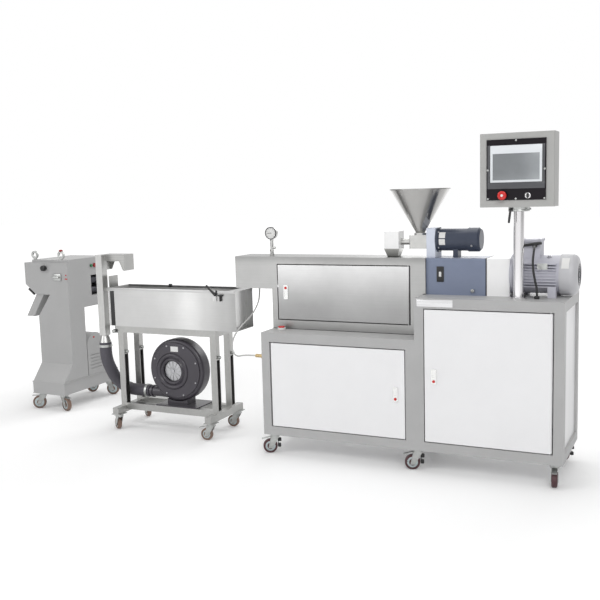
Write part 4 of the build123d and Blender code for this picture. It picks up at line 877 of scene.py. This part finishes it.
def buildFeederTrim(s):
    middle = Vector((0, cowlMiddle.y, feederHigh.z - s["axisDown"]))
    x = feederLow.x + s["flange"]
    spots = [middle + Vector((x, y, z)) for y, z in ringSpots(s["bolts"], s["firstBolt"], s["boltCircle"])]
    bolt = roundBar((0, 0, 0), (s["boltOut"], 0, 0), **s["bolt"])
    fit(spreadOut(bolt, shiftTo(spots)), "feederBolts", "castAluminium")
    outward = frontward(math.radians(s["bellTurn"]))
    seat = middle + Vector((feederHigh.x - s["bell"], 0, 0)) + outward * s["bellRadius"]
    head = roundBar(seat - outward * lap, seat + outward * s["screwOut"], **s["screw"])
    fit(head, "bellScrew", "castAluminium")
    left = x + s["plateIn"]
    for name, turns in s["plates"].items():
        plate = curvedPlate(middle, s["plateRadius"], left, left + s["plateLong"], turns, plateThick)
        fit(plate, name, "labelWhite")


buildFeederTrim(feederTrim)

motorTrim = {
    "tagRadius": 0.0966, "tagLeft": 0.010, "tagRight": 0.043, "tagTurns": (21, 55), "lugX": 1.400,
    "lugTurn": 67.0, "body": 0.088, "padIn": 0.006, "padOut": 0.004, "headOut": 0.010,
    "pad": dict(radius=0.0125, edge=0.0015, sides=4), "head": dict(radius=0.0075, edge=0.001, sides=6),
}


def buildMotorTrim(s):
    left, right = cowlLow.x + s["tagLeft"], cowlLow.x + s["tagRight"]
    tag = curvedPlate(cowlMiddle, s["tagRadius"], left, right, s["tagTurns"], plateThick)
    fit(tag, "cowlTag", "labelWhite")
    outward = frontward(math.radians(s["lugTurn"]))
    seat = Vector((corner.x + s["lugX"], cowlMiddle.y, cowlMiddle.z)) + outward * s["body"]
    pad = roundBar(seat - outward * s["padIn"], seat + outward * s["padOut"], **s["pad"])
    head = roundBar(seat, seat + outward * s["headOut"], **s["head"])
    fit(join([pad, head]), "motorLug", "castAluminium")


buildMotorTrim(motorTrim)

motorLeadEnds = {"box": (1.339931, 0.1585, 1.075), "deck": (1.363931, 0.092, 0.852)}
gland = {
    "barLeft": (1.288, 0.167, 1.076), "barRight": (1.371, 0.167, 1.087), "nutBack": 0.177,
    "nutFront": 0.1575, "sleeveLow": 0.8395, "sleeveHigh": 0.8545,
    "bar": dict(radius=0.0065, edge=0.002, sides=20), "nut": dict(radius=0.0112, edge=0.002, sides=6),
    "sleeve": dict(radius=0.0115, edge=0.003, sides=24), "plate": (1.356, 1.402, 0.969, 0.997),
    "plateOut": 0.001, "plateEdge": 0.0006,
}


def buildGland(s):
    strap = roundBar(place(*s["barLeft"]), place(*s["barRight"]), **s["bar"])
    x, _, z = motorLeadEnds["box"]
    nut = roundBar(place(x, s["nutBack"], z), place(x, s["nutFront"], z), **s["nut"])
    x, y, _ = motorLeadEnds["deck"]
    sleeve = roundBar(place(x, y, s["sleeveLow"]), place(x, y, s["sleeveHigh"]), **s["sleeve"])
    fit(join([strap, nut, sleeve]), "boxGland", "blackPlastic")
    fit(frontPlate(s["plate"], motorLow.y, s["plateOut"], s["plateEdge"]), "motorPlate", "zinc")


buildGland(gland)

terminal = {
    "boxIn": 0.035, "boxLong": 0.102, "boxHalf": 0.055, "inset": 0.012, "out": 0.0014,
    "screw": dict(radius=0.004, edge=0.0006, sides=16, dish=0.0015, dishDeep=0.0008),
}


def buildTerminalScrews(s):
    left, middle, half = motorLow.x + s["boxIn"], (motorLow.y + motorHigh.y) / 2, s["boxHalf"] - s["inset"]
    xs = (left + s["inset"], left + s["boxLong"] - s["inset"])
    spots = [(x, y, motorHigh.z) for x in xs for y in (middle - half, middle + half)]
    head = roundBar((0, 0, -lap), (0, 0, s["out"]), **s["screw"])
    fit(spreadOut(head, shiftTo(spots)), "terminalScrews", "zinc")


buildTerminalScrews(terminal)

# fan grille at the cowl's end: dark rings paint the shade inside its ring slots
cowlGrille = {
    "rings": 4, "first": 0.016, "pitch": 0.011, "wide": 0.0022, "sunk": 0.0004, "steps": 40, "sides": 8,
}


def buildCowlGrille(s):
    rings = []
    for i in range(s["rings"]):
        clearSelection()
        bpy.ops.mesh.primitive_torus_add(major_radius=s["first"] + i * s["pitch"], minor_radius=s["wide"],
                                         major_segments=s["steps"], minor_segments=s["sides"],
                                         location=(cowlHigh.x - s["sunk"], cowlMiddle.y, cowlMiddle.z),
                                         rotation=(0, math.radians(90), 0))
        rings.append(settle(bpy.context.object))
    fit(closeUp(join(rings)), "cowlGrille", "barGrey")


buildCowlGrille(cowlGrille)
print("motor trim done")

# blower: cover screws, inlet rings, impeller disc with vanes, blank plate
coverLow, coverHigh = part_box("blower_face")
blowerTrim = {
    "screws": 8, "circle": 0.148, "out": 0.004, "first": 20.0,
    "screw": dict(radius=0.0050, edge=0.001, sides=6), "plateWide": 0.050, "plateTall": 0.030,
    "plateRise": 0.124, "plateOut": 0.001, "plateEdge": 0.0008, "ringSteps": 96,
    "rings": [
        (0.1050, 0.0045), (0.1042, -0.0010), (0.0995, -0.0062), (0.0930, -0.0080), (0.0868, -0.0058),
        (0.0822, 0.0000), (0.0795, 0.0030), (0.0765, 0.0020), (0.0735, -0.0040), (0.0690, -0.0072),
        (0.0640, -0.0060), (0.0612, -0.0010), (0.0600, 0.0040), (0.0597, 0.0052), (0.0602, 0.0064),
        (0.0620, 0.0062), (0.0800, 0.0050),
    ],
    "disc": [
        (0.0100, 0.0250), (0.0100, 0.0090), (0.0180, 0.0080), (0.0400, 0.0090), (0.0568, 0.0105),
        (0.0568, 0.0250),
    ],
    "vanes": 12, "vaneIn": 0.014, "vaneOut": 0.0555, "vaneFront": 0.0060, "vaneBack": 0.0105,
    "vaneThick": 0.0012, "vaneEdge": 0.0004, "nutFront": 0.0050, "nutBack": 0.0130,
    "nut": dict(radius=0.011, edge=0.001, sides=6),
}


def buildBlowerTrim(s):
    middle, front = (coverLow + coverHigh) / 2, coverLow.y
    ring = ringSpots(s["screws"], s["first"], s["circle"])
    spots = [(middle.x + x, front, middle.z + z) for x, z in ring]
    head = roundBar((0, lap, 0), (0, -s["out"], 0), **s["screw"])
    fit(spreadOut(head, shiftTo(spots)), "blowerScrews", "castAluminium")
    impellerLow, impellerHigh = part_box("blower_impeller")
    inlet = (impellerLow + impellerHigh) / 2
    inlet.y = front
    fit(spunRing(s["rings"], inlet, (0, 1, 0), s["ringSteps"]), "inletRings", "blowerBlack")
    disc = spunRing(s["disc"], inlet, (0, 1, 0))
    vaneLow = (s["vaneIn"], s["vaneFront"], -s["vaneThick"])
    vaneHigh = (s["vaneOut"], s["vaneBack"], s["vaneThick"])
    vane = softBlock(vaneLow, vaneHigh, s["vaneEdge"])
    vanes = spreadOut(vane, [Matrix.Translation(inlet) @ Matrix.Rotation(i * 2 * math.pi / s["vanes"], 4, "Y")
                             for i in range(s["vanes"])])
    fit(vanes, "impellerVanes", "zinc", "impeller")
    nut = roundBar(inlet + Vector((0, s["nutBack"], 0)), inlet + Vector((0, s["nutFront"], 0)), **s["nut"])
    fit(join([disc, nut]), "impellerDisc", "castAluminium", "impeller")
    x, z = middle.x - corner.x, middle.z + s["plateRise"]
    wide, tall = s["plateWide"] / 2, s["plateTall"] / 2
    plate = frontPlate((x - wide, x + wide, z - tall, z + tall), front, s["plateOut"], s["plateEdge"])
    fit(plate, "blowerPlate", "labelWhite")


buildBlowerTrim(blowerTrim)

# bath: toggle lever, wing screw, drain stub, rim lips, black strip painting the shaded gap at the trough's
# corner, rim clip, black strips painting the shade in the leg channels, and knobs
toggle = {
    "foot": (-0.352, 0.147, 0.800), "leverTop": (-0.407, 0.146, 0.856), "hookTop": (-0.345, 0.147, 0.829),
    "lever": dict(radius=0.006, edge=0.003), "hook": dict(radius=0.004, edge=0.001, sides=12),
    "padLow": (-0.369, 0.146, 0.769), "padHigh": (-0.349, 0.1555, 0.798), "padEdge": 0.002,
}


def buildToggle(s):
    arm = roundBar(place(*s["foot"]), place(*s["leverTop"]), **s["lever"])
    hook = roundBar(place(*s["foot"]), place(*s["hookTop"]), **s["hook"])
    fit(join([arm, hook]), "toggleLever", "blackPlastic")
    fit(softBlock(place(*s["padLow"]), place(*s["padHigh"]), s["padEdge"]), "togglePad", "labelWhite")


buildToggle(toggle)

wing = {
    "x": -0.322, "out": 0.008, "low": 0.770, "high": 0.806, "half": 0.014, "wingDrop": 0.004,
    "neckDrop": 0.012, "grip": dict(radius=0.005, edge=0.0015), "neck": dict(radius=0.004, edge=0.001),
}


def buildWingScrew(s):
    x, y, half = corner.x + s["x"], troughLow.y - s["out"], s["half"]
    wingZ, neckZ = s["high"] - s["wingDrop"], s["high"] - s["neckDrop"]
    stem = roundBar((x, y, s["low"]), (x, y, s["high"]), **s["grip"])
    wings = roundBar((x - half, y, wingZ), (x + half, y, wingZ), **s["grip"])
    neck = roundBar((x, troughLow.y + lap, neckZ), (x, y, neckZ), **s["neck"])
    fit(join([stem, wings, neck]), "wingScrew", "blackPlastic")


buildWingScrew(wing)

drain = {
    "x": -1.049, "stubY": 0.185, "stubLow": 0.559, "stub": dict(radius=0.013, edge=0.002),
    "spoutBack": 0.187, "spoutFront": 0.143, "spoutZ": 0.573,
    "spout": dict(radius=0.011, edge=0.002, dish=0.003, dishDeep=0.002),
}


def buildDrain(s):
    x, z = s["x"], s["spoutZ"]
    stub = roundBar(place(x, s["stubY"], troughLow.z + lap), place(x, s["stubY"], s["stubLow"]), **s["stub"])
    spout = roundBar(place(x, s["spoutBack"], z), place(x, s["spoutFront"], z), **s["spout"])
    fit(join([stub, spout]), "drainStub", "zinc")


buildDrain(drain)

rim = {
    "high": 0.013, "out": 0.003, "up": 0.001, "edge": 0.0014, "gapShade": (-1.065, -1.037, 0.606, 0.808),
    "gapShadeOut": 0.001, "gapShadeEdge": 0.0005, "clipLow": (-0.786, 0.343, 0.816),
    "clipHigh": (-0.766, 0.354, 0.834), "clipEdge": 0.002,
}


def buildRim(s):
    front = troughLow.y
    lip = softBlock((troughLow.x, front - s["out"], troughHigh.z - s["high"]),
                    (troughHigh.x, front + s["out"], troughHigh.z + s["up"]), s["edge"])
    back = Vector((0, troughHigh.y - front, 0))
    fit(spreadOut(lip, shiftTo([Vector(), back])), "rimLip", "rimSteel")
    # painted shade: a black strip on the trough's front left corner for the shaded gap beside the duct
    fit(frontPlate(s["gapShade"], front, s["gapShadeOut"], s["gapShadeEdge"]), "cornerGapShade", "blackPlastic")
    fit(softBlock(place(*s["clipLow"]), place(*s["clipHigh"]), s["clipEdge"]), "rimClip", "blackPlastic")


buildRim(rim)

legShadeStrip = {
    "wall": 0.004, "deep": 0.012, "low": 0.151, "high": 0.436, "size": 0.038, "edge": 0.001,
    "knobOut": 0.016, "knobZ": 0.452, "knob": dict(radius=0.009, edge=0.002, sides=20),
}


# painted shade: black strips set in the legs' open channels stand in for the shade inside them
def buildLegShadeStrips(s):
    legsLow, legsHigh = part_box("bath_legs")
    wall, size, z = s["wall"], s["size"], s["knobZ"]
    shadeStrips, knobs = [], []
    for x in (legsLow.x, legsHigh.x - size):
        for y in (legsLow.y, legsHigh.y - size):
            low, high = (x + wall, y + wall, s["low"]), (x + wall + s["deep"], y + size - wall, s["high"])
            shadeStrips.append(softBlock(low, high, s["edge"]))
            middle, face = y + size / 2, x + size
            knobs.append(roundBar((face - lap, middle, z), (face + s["knobOut"], middle, z), **s["knob"]))
    fit(join(shadeStrips), "legShadeStrips", "blackPlastic")
    fit(join(knobs), "legKnobs", "zinc")


buildLegShadeStrips(legShadeStrip)
print("bath trim done")

# pelletizer: knob, latch, handle, push buttons, lamps, a dark box painting the shade inside the chute, cap on
# a lifting eye
headLow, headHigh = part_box("pelletizer_head")
hood = {
    "knobAt": (-1.775, 0.906), "knobOut": 0.026,
    "knob": dict(radius=0.018, edge=0.005, dish=0.006, dishDeep=0.002),
    "latch": (-1.707, -1.643, 0.827, 0.871), "latchOut": 0.008, "latchEdge": 0.003, "gripOut": 0.014,
    "gripHalf": 0.007, "gripShort": 0.006, "gripEdge": 0.004, "slantTop": (-1.943, 0.800),
    "slantLow": (-1.861, 0.735), "standOff": 0.024, "barHalf": 0.029, "bar": dict(radius=0.007, edge=0.002),
    "leg": dict(radius=0.0035, edge=0.0005, sides=16),
}


def buildHoodFittings(s):
    front = headLow.y
    x, z = corner.x + s["knobAt"][0], s["knobAt"][1]
    knob = roundBar((x, front, z), (x, front - s["knobOut"], z), **s["knob"])
    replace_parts(fit(knob, "hoodKnob", "blackPlastic"), "pelletizer_fittings")
    x0, x1, z0, z1 = s["latch"]
    face, middle = front - s["latchOut"], (z0 + z1) / 2
    plate = softBlock((corner.x + x0, face, z0), (corner.x + x1, front, z1), s["latchEdge"])
    grip = softBlock((corner.x + x0, face - s["gripOut"], middle - s["gripHalf"]),
                     (corner.x + x1 - s["gripShort"], face + lap, middle + s["gripHalf"]), s["gripEdge"],
                     segments=3)
    fit(join([plate, grip]), "hoodLatch", "zinc")
    top, low = (Vector((corner.x + x, front + s["standOff"], z)) for x, z in (s["slantTop"], s["slantLow"]))
    along = (low - top).normalized()
    away = Vector((along.z, 0, -along.x)) * s["standOff"]
    centre, reach = (top + low) / 2, along * s["barHalf"]
    bars = [roundBar(centre + away - reach, centre + away + reach, **s["bar"])]
    for side in (-1, 1):
        spot = centre + along * side * (s["barHalf"] - s["bar"]["radius"])
        bars.append(roundBar(spot, spot + away, **s["leg"]))
    fit(join(bars), "hoodHandle", "blackPlastic")


buildHoodFittings(hood)

headButtons = {
    "pushes": [("startPush", "greenPlastic", 0.642, 0.010), ("stopPush", "deepRed", 0.676, 0.014)],
    "pushZ": 0.904, "pushOut": 0.010, "pushEdge": 0.002, "pushSides": 24, "lampOut": 0.003,
    "lamps": [(-1.606, 0.862), (-1.612, 0.838), (-1.600, 0.838)],
    "lamp": dict(radius=0.004, edge=0.001, sides=16), "driveAt": (0.630, 0.432),
    "drive": dict(radius=0.006, edge=0.0012, sides=20),
}


def buildHeadButtons(s):
    front, right, z = headLow.y, headHigh.x, s["pushZ"]
    for name, finishName, back, radius in s["pushes"]:
        y = corner.y + back
        push = roundBar((right, y, z), (right + s["pushOut"], y, z), radius, s["pushEdge"], s["pushSides"])
        fit(push, name, finishName)
    dots = [roundBar((corner.x + x, front + lap, z), (corner.x + x, front - s["lampOut"], z), **s["lamp"])
            for x, z in s["lamps"]]
    fit(join(dots), "headLamps", "redPlastic")
    y, z = corner.y + s["driveAt"][0], s["driveAt"][1]
    fit(roundBar((right - lap, y, z), (right + s["lampOut"], y, z), **s["drive"]), "driveLamp", "redPlastic")


buildHeadButtons(headButtons)

chuteShade = {
    "slope": (-0.092, 0, -0.145), "mouthIn": 0.030, "size": (0.046, 0.060, 0.15), "sunk": 0.012,
    "rim": 0.003, "taper": 0.001, "hollow": 0.06,
}


# painted shade: a dark hollow box set in the chute's mouth stands in for the shade inside it
def buildChuteShade(s):
    chuteLow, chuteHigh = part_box("pellet_chute")
    slope = Vector(s["slope"]).normalized()
    mouth = Vector((chuteLow.x + s["mouthIn"], (chuteLow.y + chuteHigh.y) / 2, chuteLow.z))
    clearSelection()
    bpy.ops.mesh.primitive_cube_add(size=1, location=mouth - slope * (s["sunk"] + s["size"][2] / 2),
                                    rotation=(0, math.atan2(-slope.x, -slope.z), 0), scale=s["size"])
    shadeBox = settle(bpy.context.object)
    pickFaces(shadeBox, lambda face: face.normal.dot(slope) > facing)
    bpy.ops.mesh.inset(thickness=s["rim"], depth=0)
    bpy.ops.mesh.inset(thickness=s["taper"], depth=-s["hollow"])
    fit(closeUp(shadeBox), "chuteShade", "darkSteel")


buildChuteShade(chuteShade)

eyeCap = {"in": 0.026, "down": 0.006, "up": 0.008, "cap": dict(radius=0.013, edge=0.008, sides=24)}


def buildEyeCap(s):
    low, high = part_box("lifting_eyes")
    x, y = high.x - s["in"], (low.y + high.y) / 2
    fit(roundBar((x, y, high.z - s["down"]), (x, y, high.z + s["up"]), **s["cap"]), "eyeCap", "deepRed")


buildEyeCap(eyeCap)

# castors: brake pedals and wheel hubs, turned with their forks
pedals = {
    "near": 0.0125, "thick": 0.004, "half": 0.009, "low": 0.034, "high": 0.091, "edge": 0.0012,
    "toeHalf": 0.012, "toeEdge": 0.004, "toes": [(0.030, 0.048, 0.030), (0.060, 0.077, 0.032)],
}
hubs = {
    "out": 0.0012, "in": 0.006, "trail": 0.026, "faceIn": 0.003,
    "shape": dict(edge=0.001, sides=24, dish=0.007, dishDeep=0.0008),
}
castorRows = {
    "base": {"xs": (0.042, 0.816, 1.458), "ys": (0.042, 0.418), "turns": (28, 28, 18, 18, 97, 28),
             "radius": 0.037, "half": 0.013, "hub": 0.0265},
    "bath": {"xs": (-1.012, -0.390), "ys": (0.112, 0.406), "turns": (-35, -35, 7, 7),
             "radius": 0.034, "half": 0.012, "hub": 0.0235},
    "pelletizer": {"xs": (-1.807, -1.635), "ys": (0.361, 0.817), "turns": (29, 250, 160, 200),
                   "radius": 0.042, "half": 0.013, "hub": 0.031},
}


def castorTurns(row):
    spots = [(x, y) for x in row["xs"] for y in row["ys"]]
    return [Matrix.Translation(place(x, y, 0)) @ Matrix.Rotation(math.radians(turn), 4, "Z")
            for (x, y), turn in zip(spots, row["turns"])]


def buildPedals(s, row):  # black brake levers with two toes, in front of the extruder's wheels
    near, toe = s["near"], s["toeHalf"]
    levers = [softBlock((near, -s["half"], s["low"]), (near + s["thick"], s["half"], s["high"]), s["edge"])]
    for low, high, reach in s["toes"]:
        levers.append(softBlock((near + lap, -toe, low), (reach, toe, high), s["toeEdge"], segments=3))
    fit(spreadOut(join(levers), castorTurns(row)), "brakePedals", "blackPlastic")


def buildHubs(s, name, row):
    wheel = Matrix.Translation((-s["trail"], 0, row["radius"]))
    face = row["half"] - s["faceIn"]
    hub = roundBar((0, face - s["in"], 0), (0, face + s["out"], 0), row["hub"], **s["shape"])
    sides = [Matrix.Identity(4), Matrix.Rotation(math.pi, 4, "Z")]
    moves = [turn @ wheel @ side for turn in castorTurns(row) for side in sides]
    fit(spreadOut(hub, moves), name + "Hubs", "hubZinc")


buildPedals(pedals, castorRows["base"])
for rowName, castorRow in castorRows.items():
    buildHubs(hubs, rowName, castorRow)
print("pelletizer and castors dressed")

# leads: near the routes of the solids, each in shares of the way from its start to its end
leads = {
    "sensorLead": {"node": "sensor_cable", "start": (-0.122, 0.2285, 0.846), "end": (-0.045, 0.022, 0.512),
                   "shares": [(0, 0, 0.15), (-0.08, 0.1, 0.3), (-0.39, 0.245, 0.463), (-1.01, 0.41, 0.62),
                              (-1.455, 0.535, 0.796), (-1.377, 0.68, 0.97), (-0.753, 0.855, 1.062),
                              (0.13, 1, 1)],
                   "radius": 0.004, "length": 0.589, "finish": "cableGrey"},
    "motorLead": {"node": "motor_cable", "start": motorLeadEnds["box"], "end": motorLeadEnds["deck"],
                  "shares": [(0.33, 0.67, 0), (0.47, 1.18, 0.095), (0.36, 1.39, 0.27), (0.48, 1.36, 0.485),
                             (0.7, 1.15, 0.68), (1, 1, 0.85)],
                  "radius": 0.005, "length": 0.293, "finish": "blackPlastic"},
}


def buildLead(name, s):
    start, end = place(*s["start"]), place(*s["end"])
    points = [start]
    for share in s["shares"]:
        points.append(Vector([a + (b - a) * part for a, b, part in zip(start, end, share)]))
    points.append(end)
    curve = bpy.data.curves.new(name, "CURVE")
    curve.dimensions = "3D"
    curve.bevel_depth = s["radius"]
    curve.bevel_resolution = 6
    curve.resolution_u = 10
    curve.use_fill_caps = True
    spline = curve.splines.new("NURBS")
    spline.points.add(len(points) - 1)
    for point, spot in zip(spline.points, points):
        point.co = (*spot, 1)
    spline.order_u = 3
    spline.use_endpoint_u = True
    cable = bpy.data.objects.new(name, curve)
    bpy.context.scene.collection.objects.link(cable)
    curve.materials.append(finishes[s["finish"]])
    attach(cable, "line")
    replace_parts(cable, s["node"])


for leadName, leadSetup in leads.items():
    buildLead(leadName, leadSetup)
print("leads hung")
